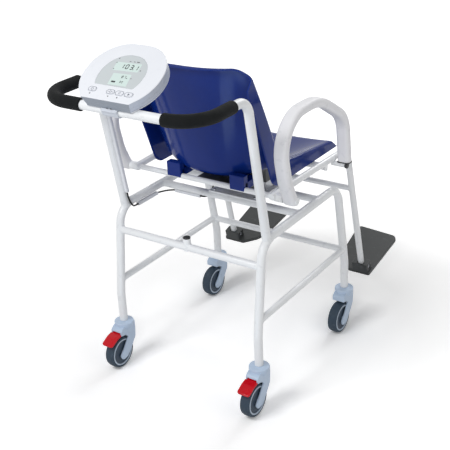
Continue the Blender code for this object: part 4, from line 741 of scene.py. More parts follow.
# White plastic channels hold the cell's cable against the frame: one up the handle's left leg,
# one inside the left rail and one under the rear crossbar. The cable itself is black.
DUCT_W = 0.011
DUCT_T = 0.009
DUCT_WALL = 0.0015
LID_T = 0.0010
UPRIGHT_DUCT_ZS = (0.553, 0.860)
RAIL_DUCT = ((-0.232, -0.155, 0.493), (-0.232, -0.062, 0.493))
CROSSBAR_DUCT = ((-0.193, REAR_BAR_Y, 0.4932), (-0.100, REAR_BAR_Y, 0.4932))
CABLE_D = 0.005
CABLE_ROUTE = [(-0.2255, -0.2585, 0.855), (-0.2255, -0.2496, 0.805), (-0.2255, -0.2407, 0.755),
               (-0.2255, -0.2318, 0.705), (-0.2255, -0.2229, 0.655), (-0.2255, -0.2140, 0.605),
               (-0.2255, -0.2060, 0.560), (-0.2262, -0.2010, 0.536), (-0.2262, -0.1935, 0.516),
               (-0.2275, -0.1810, 0.4995), (-0.2315, -0.1660, 0.4935),
               (-0.2320, -0.1520, 0.4935), (-0.2320, -0.1080, 0.4935),
               (-0.2320, -0.0660, 0.4935), (-0.2290, -0.0470, 0.4915),
               (-0.2190, -0.0290, 0.4910), (-0.2050, -0.0200, 0.4920),
               (-0.1900, -0.0180, 0.4935), (-0.1450, -0.0180, 0.4935),
               (-0.1030, -0.0180, 0.4935), (-0.0900, -0.0120, 0.4915),
               (-0.0810, 0.0030, 0.4940), (-0.0780, 0.0130, 0.5080),
               (-0.0765, 0.0220, 0.5240), (-0.0740, 0.0360, 0.5380),
               (-0.0670, 0.0510, 0.5430), (-0.0529, 0.0550, 0.5433)]


def channel(start, end, opening):
    """A straight U-shaped channel, its lips towards the opening, and the lid snapped into it."""
    w, d, wall, lip = DUCT_W / 2, DUCT_T / 2, DUCT_WALL, 0.0006
    section = closed([((-w, -d), 0.0012), ((w, -d), 0.0012), ((w, d), lip), ((w - wall, d), lip),
                      ((w - wall, wall - d), 0.0004), ((wall - w, wall - d), 0.0004),
                      ((wall - w, d), lip), ((-w, d), lip)], 4)
    lid_w = w - wall - GAP / 2
    lid = closed([((-lid_w, d - LID_T), 0.0002), ((lid_w, d - LID_T), 0.0002),
                  ((lid_w, d), 0.0003), ((-lid_w, d), 0.0003)], 4)
    start, end = np.array(start, float), np.array(end, float)
    line = [start, start + (end - start) / 3, end]
    return [carried(line, section, opening), carried(line, lid, opening)]


def smooth(route, count):
    """A curve through every point of a route: between two points it is the cubic whose slopes
    are half the steps between their neighbours."""
    route = np.asarray(route, float)
    whole = np.concatenate([2 * route[:1] - route[1:2], route, 2 * route[-1:] - route[-2:-1]])
    place = np.linspace(0, len(route) - 1, count)
    span = np.minimum(place.astype(int), len(route) - 2)
    t = (place - span)[:, None]
    a, b, c, d = (whole[span + n] for n in range(4))
    return (2 * b + (c - a) * t + (2 * a - 5 * b + 4 * c - d) * t ** 2
            + (3 * b - a - 3 * c + d) * t ** 3) / 2


duct_white = finish("white_channel_plastic", linear(228, 230, 235), 0.42, grain=2000,
                    depth=0.00003, mottle=0.02, wear=linear(204, 206, 210), worn=0.2)
cable_black = finish("cable_sheath", linear(9, 9, 11), 0.50, specular=0.2, grain=2400,
                     depth=0.00004, mottle=0.10)
lean = math.atan(HANDLE_SLOPE)
upright_x = -HALF_TRACK + FRAME_TUBE / 2 + GAP + DUCT_W / 2
upright_duct = [(upright_x, HANDLE_FOOT_Y - HANDLE_SLOPE * (z - RAIL_Z), z)
                for z in UPRIGHT_DUCT_ZS]
for name, ends, opening in (
        ("upright", upright_duct, (0, -math.cos(lean), -math.sin(lean))),
        ("rail", RAIL_DUCT, (0, 0, 1)), ("crossbar", CROSSBAR_DUCT, (0, 0, 1))):
    piece(name + "_channel", channel(*ends, opening), duct_white, "chassis",
          ["cable_duct_" + name])
piece("cell_cable", [tube(smooth(CABLE_ROUTE, 260), CABLE_D, sides=14)], cable_black, "chassis",
      ["signal_cable"])

# The seat is one glossy dark blue moulding of 4 mm, dished like a stadium seat, with its edge
# folded down and back all round. Two lugs grip the rear seat bar, and two feet rest on the front.
SHELL_HALF_W = 0.202
SHELL_T = 0.004
SHELL_FRONT_Y = 0.281
SHELL_LENGTH = 0.513
SHELL_LOW_Z = 0.600
SHELL_HEIGHT = 0.366
SHELL_TOP_CORNER = 0.032
CORNER_SHARE = 0.75
DISH_POWER = 2.6
FOLD_START = 0.94
MIDDLE_SHARES = ((0.0, 0.003, 0.0), (0.080, 0.079, 0.164), (0.797, 0.055, 0.098),
                 (0.975, 0.989, 0.016), (1.0, 0.978, 0.0))
FOLD_SHARES = ((0.025, 0.033, 0.0), (0.060, 0.082, 0.055), (0.622, 0.183, 0.219),
               (0.879, 1.0, 0.027), (0.895, 1.0, 0.0))
EDGE_SHARES = ((0.004, 0.016, 0.0), (0.037, 0.016, 0.011), (0.723, 0.019, 0.109),
               (0.930, 0.888, 0.055), (0.938, 0.929, 0.0))
RIM_START = 0.25                    # where the fold ends, between the fold and the edge lines
PAN_STEPS, FOLD_STEPS, RIM_STEPS = 40, 13, 8
SHELL_LIP = 0.0013
SHELL_ARC_STEPS = 18
SHELL_RUN_PIECES = (4, 22, 30, 4)


def shell_line(shares):
    """One line of the shell from lip to top: (y, z) points, as many for each line."""
    path = bent([((SHELL_FRONT_Y - SHELL_LENGTH * behind, SHELL_LOW_Z + SHELL_HEIGHT * rise),
                  SHELL_HEIGHT * bend) for behind, rise, bend in shares], SHELL_ARC_STEPS)
    line = []
    turn = SHELL_ARC_STEPS + 1
    for number, pieces in enumerate(SHELL_RUN_PIECES):
        start, end = path[number * turn], path[number * turn + 1]
        share = (np.arange(pieces) / pieces)[:, None]
        line += [start + (end - start) * share, path[number * turn + 1:(number + 1) * turn]]
    return np.concatenate(line)


def shell_rings():
    """The shell's middle surface.

    Across the pan a point goes from the middle line to the fold line by the share out from
    the middle to a power, round the fold by a quadratic curve, and down the rim straight to
    the edge line. The top's corners drop by the square of how far up and out they are.
    """
    middle, fold, edge = (shell_line(shares)[:, None]
                          for shares in (MIDDLE_SHARES, FOLD_SHARES, EDGE_SHARES))
    half = SHELL_HALF_W - SHELL_T / 2
    out = (np.linspace(0, 1, PAN_STEPS) * FOLD_START)[None, :, None]
    flat = middle + (fold - middle) * out ** DISH_POWER
    flat_x = np.broadcast_to(half * out[..., 0], flat.shape[:2])
    t = np.linspace(0, 1, FOLD_STEPS)[None, 1:, None]
    begin, rim_start = flat[:, -1:], fold + (edge - fold) * RIM_START
    curve = begin * (1 - t) ** 2 + fold * 2 * t * (1 - t) + rim_start * t ** 2
    curve_x = half * (FOLD_START * (1 - t) ** 2 + 2 * t * (1 - t) + t ** 2)[..., 0]
    share = np.linspace(RIM_START, 1, RIM_STEPS)[None, 1:, None]
    rim = fold + (edge - fold) * share
    x = np.concatenate([flat_x, np.broadcast_to(curve_x, curve.shape[:2]),
                        np.full(rim.shape[:2], half)], 1)
    yz = np.concatenate([flat, curve, rim], 1)
    rows = np.arange(len(x))
    back_start = len(x) - 1 - sum(SHELL_RUN_PIECES[2:]) - SHELL_ARC_STEPS
    rise = np.clip((rows - back_start) / SHELL_RUN_PIECES[2], 0, 1)[:, None]
    aside = np.maximum(0, x / SHELL_HALF_W - CORNER_SHARE) / (1 - CORNER_SHARE)
    half_grid = np.stack([x, yz[..., 0], yz[..., 1] - SHELL_TOP_CORNER * rise ** 2 * aside ** 2],
                         -1)
    other = half_grid[:, :0:-1] * (-1, 1, 1)
    return np.concatenate([other, half_grid], 1)


shell_blue = finish("dark_blue_gloss", linear(16, 44, 122), 0.15, specular=0.12, grain=260,
                    depth=0.00003, mottle=0.05, uneven=0.18, wear=linear(26, 54, 132),
                    worn=0.15)
shell_grid = shell_rings()
rows, columns = shell_grid.shape[:2]
number = np.arange(rows * columns).reshape(rows, columns)
shell_faces = np.stack([number[:-1, :-1], number[:-1, 1:], number[1:, 1:], number[1:, :-1]],
                       -1).reshape(-1, 4).tolist()
shell = piece("seat_moulding", [(shell_grid.reshape(-1, 3), shell_faces)], shell_blue, "chassis",
              ["seat_shell"], sharp=60)
wall = shell.modifiers.new("wall", "SOLIDIFY")
wall.thickness = SHELL_T
wall.offset = 0.0
lip = shell.modifiers.new("lip", "BEVEL")
lip.width = SHELL_LIP
lip.segments = 3
lip.limit_method = "ANGLE"
lip.angle_limit = math.radians(60)

LUG_XS = (-0.097, 0.117)
LUG_W = 0.046
LUG_BACK = ((-0.144, 0.604), (-0.122, 0.647))         # along and up, corner to corner
LUG_HOOK = ((-0.134, 0.604), (-0.076, 0.6258))
REST = ((0.134, 0.6045), (0.146, 0.6275))
REST_X = 0.060
REST_W = 0.030


def block(low, high):
    """A box between two corners."""
    points = np.array([[(low, high)[i][0], (low, high)[j][1], (low, high)[k][2]]
                       for i in (0, 1) for j in (0, 1) for k in (0, 1)], float)
    return points, [[0, 1, 3, 2], [4, 6, 7, 5], [0, 4, 5, 1], [2, 3, 7, 6], [0, 2, 6, 4],
                    [1, 5, 7, 3]]


lugs = [block((x - width / 2, *low), (x + width / 2, *high))
        for xs, width, forms in ((LUG_XS, LUG_W, (LUG_BACK, LUG_HOOK)),
                                 ((-REST_X, REST_X), REST_W, (REST,)))
        for x in xs for low, high in forms]
piece("seat_lugs", lugs, shell_blue, "chassis", soften=0.0016)

# Each footplate is a charcoal moulding with a grained tread in a darker rim. Its hub straddles
# the foot tube's domed end, and a zinc plated bolt through both is the hinge it flips up on.
TREAD_T = 0.012
PIN_HEIGHT = 0.027
HUB_HALF_W = 0.028
HUB_HEIGHT = 0.040
HUB_BACK = 0.017
HUB_FRONT = 0.018
SLOT_HALF_W = 0.0108
TREAD_EDGE = 0.0028
TREAD_W = 0.152
TREAD_L = 0.219
TREAD_OUTSIDE = 0.041
TREAD_SHARES = ((0.053, 0.0, 0.04), (0.0, 0.945, 0.145), (1.0, 1.0, 0.105),
                (0.934, 0.443, 0.39), (0.829, 0.178, 0.26), (0.546, 0.0, 0.04))
MAT_INSET = 0.0065
MAT_RISE = 0.0004
FOOT_PIN_D = 0.008
PIN_HEAD_D = 0.014
PIN_HEAD_T = 0.005
PIN_HEAD_INSET = 0.002
HUB_ROOM = 0.003
CUT_OVER = 0.004                    # how far a cut runs on beyond what it cuts


def turned_way(outline):
    """The outline, run anticlockwise: its area, half the sum of the cross products of each
    point with the next, is made positive."""
    x, y = outline.T
    area = (x * np.roll(y, -1) - y * np.roll(x, -1)).sum()
    return outline if area > 0 else outline[::-1]


def drawn_in(outline, inset):
    """A closed outline moved inwards: each point moves by the inset times the sum of its two
    edges' outward normals, over one plus their dot product."""
    outline = turned_way(outline)
    edge = unit(np.roll(outline, -1, 0) - outline)
    after = np.stack([edge[:, 1], -edge[:, 0]], 1)
    before = np.roll(after, 1, 0)
    lean_in = (before + after) / (1 + (before * after).sum(1, keepdims=True))
    return outline - lean_in * inset


def slab(outline, low, high, edge=0.0, steps=5):
    """A flat plate between two heights. Near each face its outline is drawn in by the edge
    times one less the cosine, while the height nears the face by the sine."""
    if not edge:
        levels = [(low, 0.0), (high, 0.0)]
    else:
        angle = np.linspace(0, math.pi / 2, steps)
        levels = [(low + edge * (1 - math.sin(a)), edge * (1 - math.cos(a))) for a in angle[::-1]]
        levels += [(high - edge * (1 - math.sin(a)), edge * (1 - math.cos(a))) for a in angle]
    return skin(np.stack([np.insert(drawn_in(outline, inset), 2, height, axis=1)
                          for height, inset in levels]))


def placed(shape, matrix):
    """A shape carried to a frame: each point times the frame's turn, plus its origin."""
    points, faces = shape
    matrix = np.array(matrix)
    return points @ matrix[:3, :3].T + matrix[:3, 3], faces


def carved(shape, *tools):
    """A shape with others cut out of it, one exact cut at a time."""
    target = thing("carving", [shape])
    for tool in tools:
        cutter = thing("cutter", [tool])
        step = target.modifiers.new("cut", "BOOLEAN")
        step.operation = "DIFFERENCE"
        step.solver = "EXACT"
        step.object = cutter
        graph = bpy.context.evaluated_depsgraph_get()
        mesh = bpy.data.meshes.new_from_object(target.evaluated_get(graph))
        target.modifiers.clear()
        target.data = mesh
        bpy.data.objects.remove(cutter)
    points = np.empty(len(target.data.vertices) * 3)
    target.data.vertices.foreach_get("co", points)
    faces = [list(polygon.vertices) for polygon in target.data.polygons]
    bpy.data.objects.remove(target)
    return points.reshape(-1, 3) - (0, SHIFT_Y, 0), faces


def drum(radius, start, end, centre=(0, 0, 0), sides=64):
    """A plain round bar along X, to cut with."""
    return turned([(ON_AXIS, start), (radius, start), (radius, end), (ON_AXIS, end)], centre,
                  (1, 0, 0), sides)


tread_dark = finish("footplate_charcoal", linear(36, 40, 41), 0.46, grain=1500, depth=0.00009,
                    mottle=0.10, wear=linear(74, 80, 80), worn=0.25)
tread_grain = finish("footplate_tread", linear(58, 64, 64), 0.62, specular=0.35, grain=750,
                     depth=0.00022, mottle=0.10, uneven=0.08, wear=linear(92, 98, 98), worn=0.22)
under = -PIN_HEIGHT
above = under + HUB_HEIGHT
hub_plan = closed([((-HUB_HALF_W, -HUB_BACK), 0.004), ((HUB_HALF_W, -HUB_BACK), 0.004),
                   ((HUB_HALF_W, HUB_FRONT), 0.006), ((-HUB_HALF_W, HUB_FRONT), 0.006)], 6)
slot_plan = np.array([(-SLOT_HALF_W, -SLOT_HALF_W), (SLOT_HALF_W, -SLOT_HALF_W),
                      (SLOT_HALF_W, HUB_FRONT + CUT_OVER), (-SLOT_HALF_W, HUB_FRONT + CUT_OVER)])
head_seat = HUB_HALF_W - PIN_HEAD_T - PIN_HEAD_INSET
head_end = head_seat + PIN_HEAD_T
head_r = PIN_HEAD_D / 2
hub = carved(slab(hub_plan, under + TREAD_EDGE, above, 0.003),
             slab(slot_plan, under + TREAD_T, above + CUT_OVER),
             drum(head_r + GAP, head_seat, HUB_HALF_W + CUT_OVER, sides=40))
head = bent([((ON_AXIS, head_seat + GAP), 0), ((head_r, head_seat + GAP), 0.0002),
             ((head_r, head_end), 0.0018), ((0.0042, head_end), 0),
             ((0.0034, head_end - 0.0025), 0), ((ON_AXIS, head_end - 0.0025), 0)])
foot_bolt = [turned(head, (0, 0, 0), (1, 0, 0), 40),
             tube([(-HUB_HALF_W, 0, 0), (head_seat + PIN_HEAD_T / 2, 0, 0)], FOOT_PIN_D)]
for side, sign in SIDES:
    place = (Matrix.Translation((sign * FOOT_PIN_X, FOOT_PIN_Y, FOOT_PIN_Z))
             @ Matrix.Rotation(math.atan(FOOT_SLOPE), 4, "X"))
    outline = closed([((sign * (TREAD_OUTSIDE - TREAD_W * inwards), TREAD_L * ahead - HUB_BACK),
                       TREAD_W * corner) for inwards, ahead, corner in TREAD_SHARES])
    piece("footplate_moulding_" + side,
          [placed(slab(outline, under, under + TREAD_T, TREAD_EDGE), place), placed(hub, place)],
          tread_dark, "foot_" + side, ["footplate_" + side], even=True)
    mat = slab(drawn_in(outline, MAT_INSET), under + TREAD_T - 0.001, under + TREAD_T + MAT_RISE,
               0.0003, 3)
    mat = carved(mat, slab(drawn_in(hub_plan, -HUB_ROOM), under, above))
    piece("footplate_tread_" + side, [placed(mat, place)], tread_grain, "foot_" + side)
    piece("foot_bolt_" + side, [placed(shape, place) for shape in foot_bolt], zinc,
          "foot_" + side, ["foot_pin_" + side])

# The castors are bought in: a blue-grey hooded fork that turns on its stem under a round
# collar, with an arm down each side of the wheel. The rear two have a red brake pedal.
WHEEL_D = 0.100
WHEEL_W = 0.030
TRAIL = 0.035
COLLAR_D = 0.059
COLLAR_TOP = 0.144
COLLAR_RIM = 0.011
COLLAR_CROWN = 0.0025
NECK_D = 0.052
ARM_PLATE = 0.0045
RUNNING = 0.0010
WHEEL_ROOM = 0.004
FORK_EDGE = 0.0022
STEM_D = 0.011
STEM_TOP = 0.1763
AXLE_D = 0.009
PEDAL_ROOT_W = 0.029
PEDAL_BARREL_D = 0.008
PEDAL_Y = -0.032
PEDAL_Z = 0.1145
PEDAL_LENGTH = 0.056
SLOT_BACK_Y = -0.09
FORK_FRONT_SHARES = ((0.26, 1.34, 0.0), (0.26, 1.04, 0.12), (0.235, 0.80, 0.16),
                     (-0.02, 0.46, 0.25), (-0.20, 0.285, 0.10), (-0.42, 0.25, 0.12))
FORK_BACK_SHARES = ((-0.52, 0.44, 0.10), (-0.33, 0.62, 0.20), (-0.09, 0.945, 0.04),
                    (-0.20, 1.045, 0.10), (-0.40, 1.085, 0.03), (-0.40, 1.24, 0.08),
                    (-0.26, 1.34, 0.0))
SIDE_VIEW = Matrix(((0, 0, 1, 0), (1, 0, 0, 0), (0, 1, 0, 0), (0, 0, 0, 1)))

castor_grey = finish("castor_housing", linear(186, 204, 226), 0.34, grain=1300, depth=0.00005,
                     mottle=0.05, wear=linear(184, 198, 214), worn=0.2)
room = WHEEL_W + 2 * RUNNING
width = room + 2 * ARM_PLATE
fork_outline = closed([((WHEEL_D * ahead, WHEEL_D * rise), WHEEL_D * bend)
                       for ahead, rise, bend in FORK_FRONT_SHARES + FORK_BACK_SHARES])
hood = placed(slab(fork_outline, -width / 2, width / 2, FORK_EDGE), SIDE_VIEW)
well = turned(bent([((ON_AXIS, -room / 2), 0), ((WHEEL_D / 2 + WHEEL_ROOM, -room / 2), 0.004),
                    ((WHEEL_D / 2 + WHEEL_ROOM, room / 2), 0.004), ((ON_AXIS, room / 2), 0)]),
              (0, -TRAIL, WHEEL_D / 2), (1, 0, 0), 72)
open_hood = carved(hood, well)
barrel = PEDAL_BARREL_D + 2 * RUNNING
slot_half = PEDAL_ROOT_W / 2 + RUNNING
braked_hood = carved(
    open_hood,
    drum(barrel / 2, -slot_half, slot_half, (0, PEDAL_Y, PEDAL_Z), 24),
    block((-slot_half, SLOT_BACK_Y, PEDAL_Z - PEDAL_LENGTH),
          (slot_half, PEDAL_Y, PEDAL_Z + barrel / 2)))
rim_z = COLLAR_TOP - COLLAR_CROWN
neck_z = rim_z - COLLAR_RIM
collar = turned(bent([((ON_AXIS, COLLAR_TOP), 0), ((STEM_D / 2 + 0.008, COLLAR_TOP), 0.002),
                      ((COLLAR_D / 2, rim_z), 0.0022), ((COLLAR_D / 2, neck_z), 0.0012),
                      ((NECK_D / 2 + 0.0006, neck_z), 0.0006),
                      ((NECK_D / 2, neck_z - 0.0016), 0.0008),
                      ((NECK_D / 2, neck_z - COLLAR_RIM), 0.003),
                      ((ON_AXIS, neck_z - COLLAR_RIM), 0)]), (0, 0, 0), sides=72)
axle_end = bent([((ON_AXIS, 0), 0), ((0.0062, 0), 0.0004), ((0.0062, 0.0011), 0.0007),
                 ((0.0030, 0.0014), 0.0006), ((ON_AXIS, 0.0014), 0)])
axle = [turned(axle_end, (sign * (width / 2 - 0.0004), -TRAIL, WHEEL_D / 2), (sign, 0, 0), 32)
        for sign in (-1, 1)]
stem = tube([(0, 0, COLLAR_TOP - 0.004), (0, 0, STEM_TOP)], STEM_D)
spindle = tube([(-width / 2 + RUNNING, -TRAIL, WHEEL_D / 2),
                (width / 2 - RUNNING, -TRAIL, WHEEL_D / 2)], AXLE_D)
castor_places = {end + "_" + side: (sign * HALF_TRACK, y, 0)
                 for end, y in (("rear", -HALF_BASE), ("front", HALF_BASE)) for side, sign in SIDES}
for name, stand in castor_places.items():
    there = Matrix.Translation(stand)
    fork = braked_hood if name.startswith("rear") else open_hood
    piece("castor_hood_" + name, [placed(shape, there) for shape in (fork, collar, stem,
                                                                    spindle, *axle)],
          castor_grey, "castor_" + name, ["castor_fork_" + name], sharp=38,
          even=True)

# Each wheel is a dark moulded centre with a thin pale lip, and a soft blue-black tyre is
# pressed over it. The tyre's shoulders are round, and its tread is dull from use.
TYRE_T = 0.0055
AXLE_BORE = 0.0096
TYRE_SHOULDER = 0.0085
WHEEL_STEPS = 96


def ringed(profile, hub_at, turns=(1,)):
    """A wheel's profile turned about its axle, once for each way that it faces."""
    return [turned(profile, hub_at, (turn, 0, 0), WHEEL_STEPS, wrap=True) for turn in turns]


wheel_dark = finish("wheel_centre", linear(52, 66, 82), 0.45, specular=0.3, grain=1200,
                    depth=0.00005, mottle=0.08)
wheel_lip = finish("wheel_lip", linear(178, 192, 208), 0.35, grain=1200, depth=0.00004,
                   mottle=0.04)
tyre_rubber = finish("tyre_rubber", linear(54, 68, 82), 0.60, specular=0.25, grain=900,
                     depth=0.00012, mottle=0.10, uneven=0.12, wear=linear(98, 106, 118),
                     worn=0.22)
rim_r = WHEEL_D / 2 - TYRE_T
half_w = WHEEL_W / 2
disc = bent([((AXLE_BORE / 2, half_w - 0.0010), 0), ((0.0085, half_w - 0.0010), 0.0006),
             ((0.0095, half_w - 0.0028), 0.0006), ((0.0300, half_w - 0.0036), 0.0010),
             ((0.0335, half_w - 0.0020), 0.0006), ((rim_r - 0.0090, half_w - 0.0020), 0)])
disc = np.concatenate([disc, disc[::-1] * (1, -1)])
LIP_MID_R = rim_r - 0.0044
LIP_HALF = 0.0022
LIP_SUNK = half_w - 0.0060
lip_in, lip_out = LIP_MID_R - LIP_HALF, LIP_MID_R + LIP_HALF
lip_ring = closed([((lip_in, LIP_SUNK), 0), ((lip_out, LIP_SUNK), 0),
                   ((lip_out, half_w + 0.0001), 0.0012), ((lip_in, half_w + 0.0001), 0.0012)])
web = bent([((LIP_MID_R - 0.0056, half_w - 0.0026), 0), ((rim_r, half_w - 0.0026), 0)])
web = np.concatenate([web, web[::-1] * (1, -1)])
wheel_r, shoulder_r, flat_half = WHEEL_D / 2, WHEEL_D / 2 - 0.0022, half_w - TYRE_SHOULDER
tread = closed([((rim_r + GAP, half_w), 0.0003), ((shoulder_r, half_w - 0.0004), 0.0024),
                ((wheel_r, flat_half), 0.0120), ((wheel_r, -flat_half), 0.0120),
                ((shoulder_r, 0.0004 - half_w), 0.0024), ((rim_r + GAP, -half_w), 0.0003)])
side_wall = closed([((lip_out, LIP_SUNK), 0), ((rim_r + 0.0012, LIP_SUNK), 0),
                    ((rim_r + 0.0012, half_w - 0.0002), 0.0006),
                    ((lip_out, half_w - 0.0008), 0.0006)])
for name, stand in castor_places.items():
    hub_at = np.array(stand) + (0, -TRAIL, WHEEL_D / 2)
    piece("wheel_centre_" + name, ringed(disc, hub_at) + ringed(web, hub_at), wheel_dark,
          "wheel_" + name, ["castor_wheel_" + name])
    piece("wheel_lip_" + name, ringed(lip_ring, hub_at, (-1, 1)), wheel_lip, "wheel_" + name)
    piece("wheel_tyre_" + name, ringed(tread, hub_at) + ringed(side_wall, hub_at, (-1, 1)),
          tyre_rubber, "wheel_" + name, ["castor_tyre_" + name], sharp=45)

# A brake pedal is one glossy red moulding. It turns on its pin in the hood's slot, widens
# behind the hood, and curves back and down over the tyre to two rounded corners.
PEDAL_W = 0.041
PEDAL_NECK = 0.0105
PEDAL_T = 0.005
PEDAL_FALL = 0.020
PEDAL_CURVE = 0.030
PEDAL_CORNER = 0.0085
PEDAL_EDGE = 0.0017
TIP_THINS = 0.75
PEDAL_PIN_D = 0.004
PIN_OVER = 0.004
pedal_red = finish("brake_pedal_red", linear(200, 8, 26), 0.28, specular=0.2, coat=0.1,
                   grain=900, depth=0.00003, mottle=0.05, wear=linear(214, 60, 70), worn=0.12)
pedal_line = bent([((PEDAL_Y, PEDAL_Z), 0),
                   ((PEDAL_Y - PEDAL_LENGTH / 2, PEDAL_Z - PEDAL_FALL / 6 - PEDAL_T / 2),
                    PEDAL_CURVE),
                   ((PEDAL_Y - PEDAL_LENGTH, PEDAL_Z - PEDAL_FALL), 0)], 14)
tip_way = unit(pedal_line[-1] - pedal_line[-2])
tip_angle = np.linspace(0, math.pi / 2, 12)[1:]
tip = pedal_line[-1] - tip_way * (PEDAL_CORNER * (1 - np.sin(tip_angle)))[:, None]
flat_end = pedal_line[-1] - tip_way * PEDAL_CORNER
pedal_path = np.concatenate([pedal_line[:-1], flat_end[None], tip])
pedal_wide = np.concatenate([np.ones(len(pedal_line)),
                             1 - PEDAL_CORNER / (PEDAL_W / 2) * (1 - np.cos(tip_angle))])
pedal_thick = np.concatenate([np.ones(len(pedal_line)),
                              1 - TIP_THINS * (1 - np.cos(tip_angle)) ** 2])
pedal_section = rounded_box(PEDAL_W, PEDAL_T, PEDAL_EDGE, 6)
neck_y = PEDAL_Y - PEDAL_NECK
neck_cuts = [block((min(inner, outer), neck_y, PEDAL_Z - PEDAL_LENGTH),
                   (max(inner, outer), PEDAL_Y + PEDAL_T, PEDAL_Z + PEDAL_T))
             for inner, outer in ((-PEDAL_ROOT_W / 2, -PEDAL_W), (PEDAL_ROOT_W / 2, PEDAL_W))]
pedal = carved(carried(np.insert(pedal_path, 0, 0.0, axis=1), pedal_section, (0, 0, 1),
                       np.stack([pedal_wide, pedal_thick], 1)), *neck_cuts)
for side, sign in SIDES:
    stand = np.array((sign * HALF_TRACK, -HALF_BASE, 0))
    pivot = stand + (0, PEDAL_Y, PEDAL_Z)
    across = np.array((PEDAL_ROOT_W / 2, 0, 0))
    pin_reach = np.array((PEDAL_ROOT_W / 2 + PIN_OVER, 0, 0))
    piece("brake_pedal_moulding_" + side,
          [placed(pedal, Matrix.Translation(stand)),
           tube([pivot - across, pivot + across], PEDAL_BARREL_D),
           tube([pivot - pin_reach, pivot + pin_reach], PEDAL_PIN_D)],
          pedal_red, "brake_" + side, ["brake_pedal_" + side], sharp=50)

# The display head has a white upper cover over a grey lower one, with sides that lean in to a pale
# rim round the underside, whose white is a painted highlight. The upper cover's walls are painted
# grey as shade. Both are smooth mouldings, and the straight front wall is grey.
HEAD_TILT = math.radians(30)
HEAD_W = 0.232
FACE_HEIGHT = 0.0458
FACE_SHIFT = 0.0166
TOP_T = 0.018
BOTTOM_T = 0.0145
COVER_WALL = 0.003
FACE_WALL = 0.0025
HEAD_EDGE = 0.0020
DRAFT = 0.006
RIM_DEPTH = 0.0034
RIM_PROUD = 0.0012
LEAST_CORNER = 0.25
HEAD_SHARES = ((0.321, -0.1095, 0.017), (0.500, 0.087, 0.443), (0.500, 0.4455, 0.418),
               (0.2535, 0.6935, 0.421))
WINDOW_SHARES = ((0.2466, 0.0836, 0.011), (0.288, 0.1578, 0.293), (0.288, 0.3647, 0.2715),
                 (0.128, 0.5246, 0.267))
HEAD_ARC_STEPS = 20
HEAD_PLACE = (Matrix.Translation((0, HANDLE_REAR_Y, HANDLE_Z))
              @ Matrix.Rotation(HEAD_TILT, 4, "X"))
SADDLE_W = 0.050
SADDLE_WALL = 0.0035
KEY_L = 0.025
KEY_W = 0.0150
KEY_END = 0.0074
KEY_Y = 0.0013
KEY_PITCH = 0.0275
WALL_NORMAL, RIM_NORMAL = 0.6, 0.8  # a wall's normal points up or down by less than this
CHIN_NORMAL = 0.9                   # and the front wall's forwards by more than this
CHIN_NEAR = 0.001
BATTERY_HALF_W = 0.036
BATTERY_L = 0.050
COVER_SCREW_X = 0.070
COVER_SCREW_YS = (0.040, 0.125)
KEY_SHARES = (("power", -1.9), ("zero", 0.15), ("hold", 1.15), ("mode", 2.15))


def mirrored(shares, inset=0.0, front=None):
    """A full outline from half an outline's shares. A corner moves inwards by a, times the
    normal before it, plus b, times the normal after it: with the two insets i and j and the
    normals' dot product c, a is (i - jc) / (1 - cc) and b is (j - ic) / (1 - cc)."""
    front = inset if front is None else front
    half = np.array(shares) * HEAD_W + (0, FACE_SHIFT, 0)
    whole = np.concatenate([half, half[::-1] * (-1, 1, 1)])
    places = whole[:, :2]
    way = unit(np.roll(places, -1, 0) - places)
    after = np.stack([way[:, 1], -way[:, 0]], 1)
    before = np.roll(after, 1, 0)
    cosine = (before * after).sum(1, keepdims=True)
    first, last = np.full((len(whole), 1), inset), np.full((len(whole), 1), inset)
    first[0] = last[-1] = front
    inwards = (before * (first - last * cosine) + after * (last - first * cosine)) \
        / (1 - cosine ** 2)
    radii = np.maximum(whole[:, 2] - inset, whole[:, 2] * LEAST_CORNER)
    return closed(list(zip(places - inwards, radii)), HEAD_ARC_STEPS)


def cover(levels):
    """The head's outline at several (height, inset, front inset) levels."""
    return skin(np.stack([np.insert(mirrored(HEAD_SHARES, inset, front), 2, height, axis=1)
                          for height, inset, front in levels]))


def key_plan(gap=0.0):
    """A key's rounded outline about its own middle."""
    return rounded_box(KEY_L + 2 * gap, KEY_W + 2 * gap, KEY_END, 12)


def on_head(*shapes):
    """Shapes drawn about the handlebar's axis, carried to the tilted head."""
    return [placed(shape, HEAD_PLACE) for shape in shapes]


def share_out(node, others, wanted):
    """Give a cover two more materials, and each of its faces one of the three by a rule on the
    faces' normals and middles in the head's own frame."""
    for look in others:
        node.data.materials.append(look)
    count = len(node.data.polygons)
    normals, middles = np.empty(count * 3), np.empty(count * 3)
    node.data.polygons.foreach_get("normal", normals)
    node.data.polygons.foreach_get("center", middles)
    normals = normals.reshape(-1, 3) @ to_head[:3, :3].T
    middles = middles.reshape(-1, 3) @ to_head[:3, :3].T + to_head[:3, 3]
    node.data.polygons.foreach_set("material_index", wanted(normals, middles).astype(np.int32))


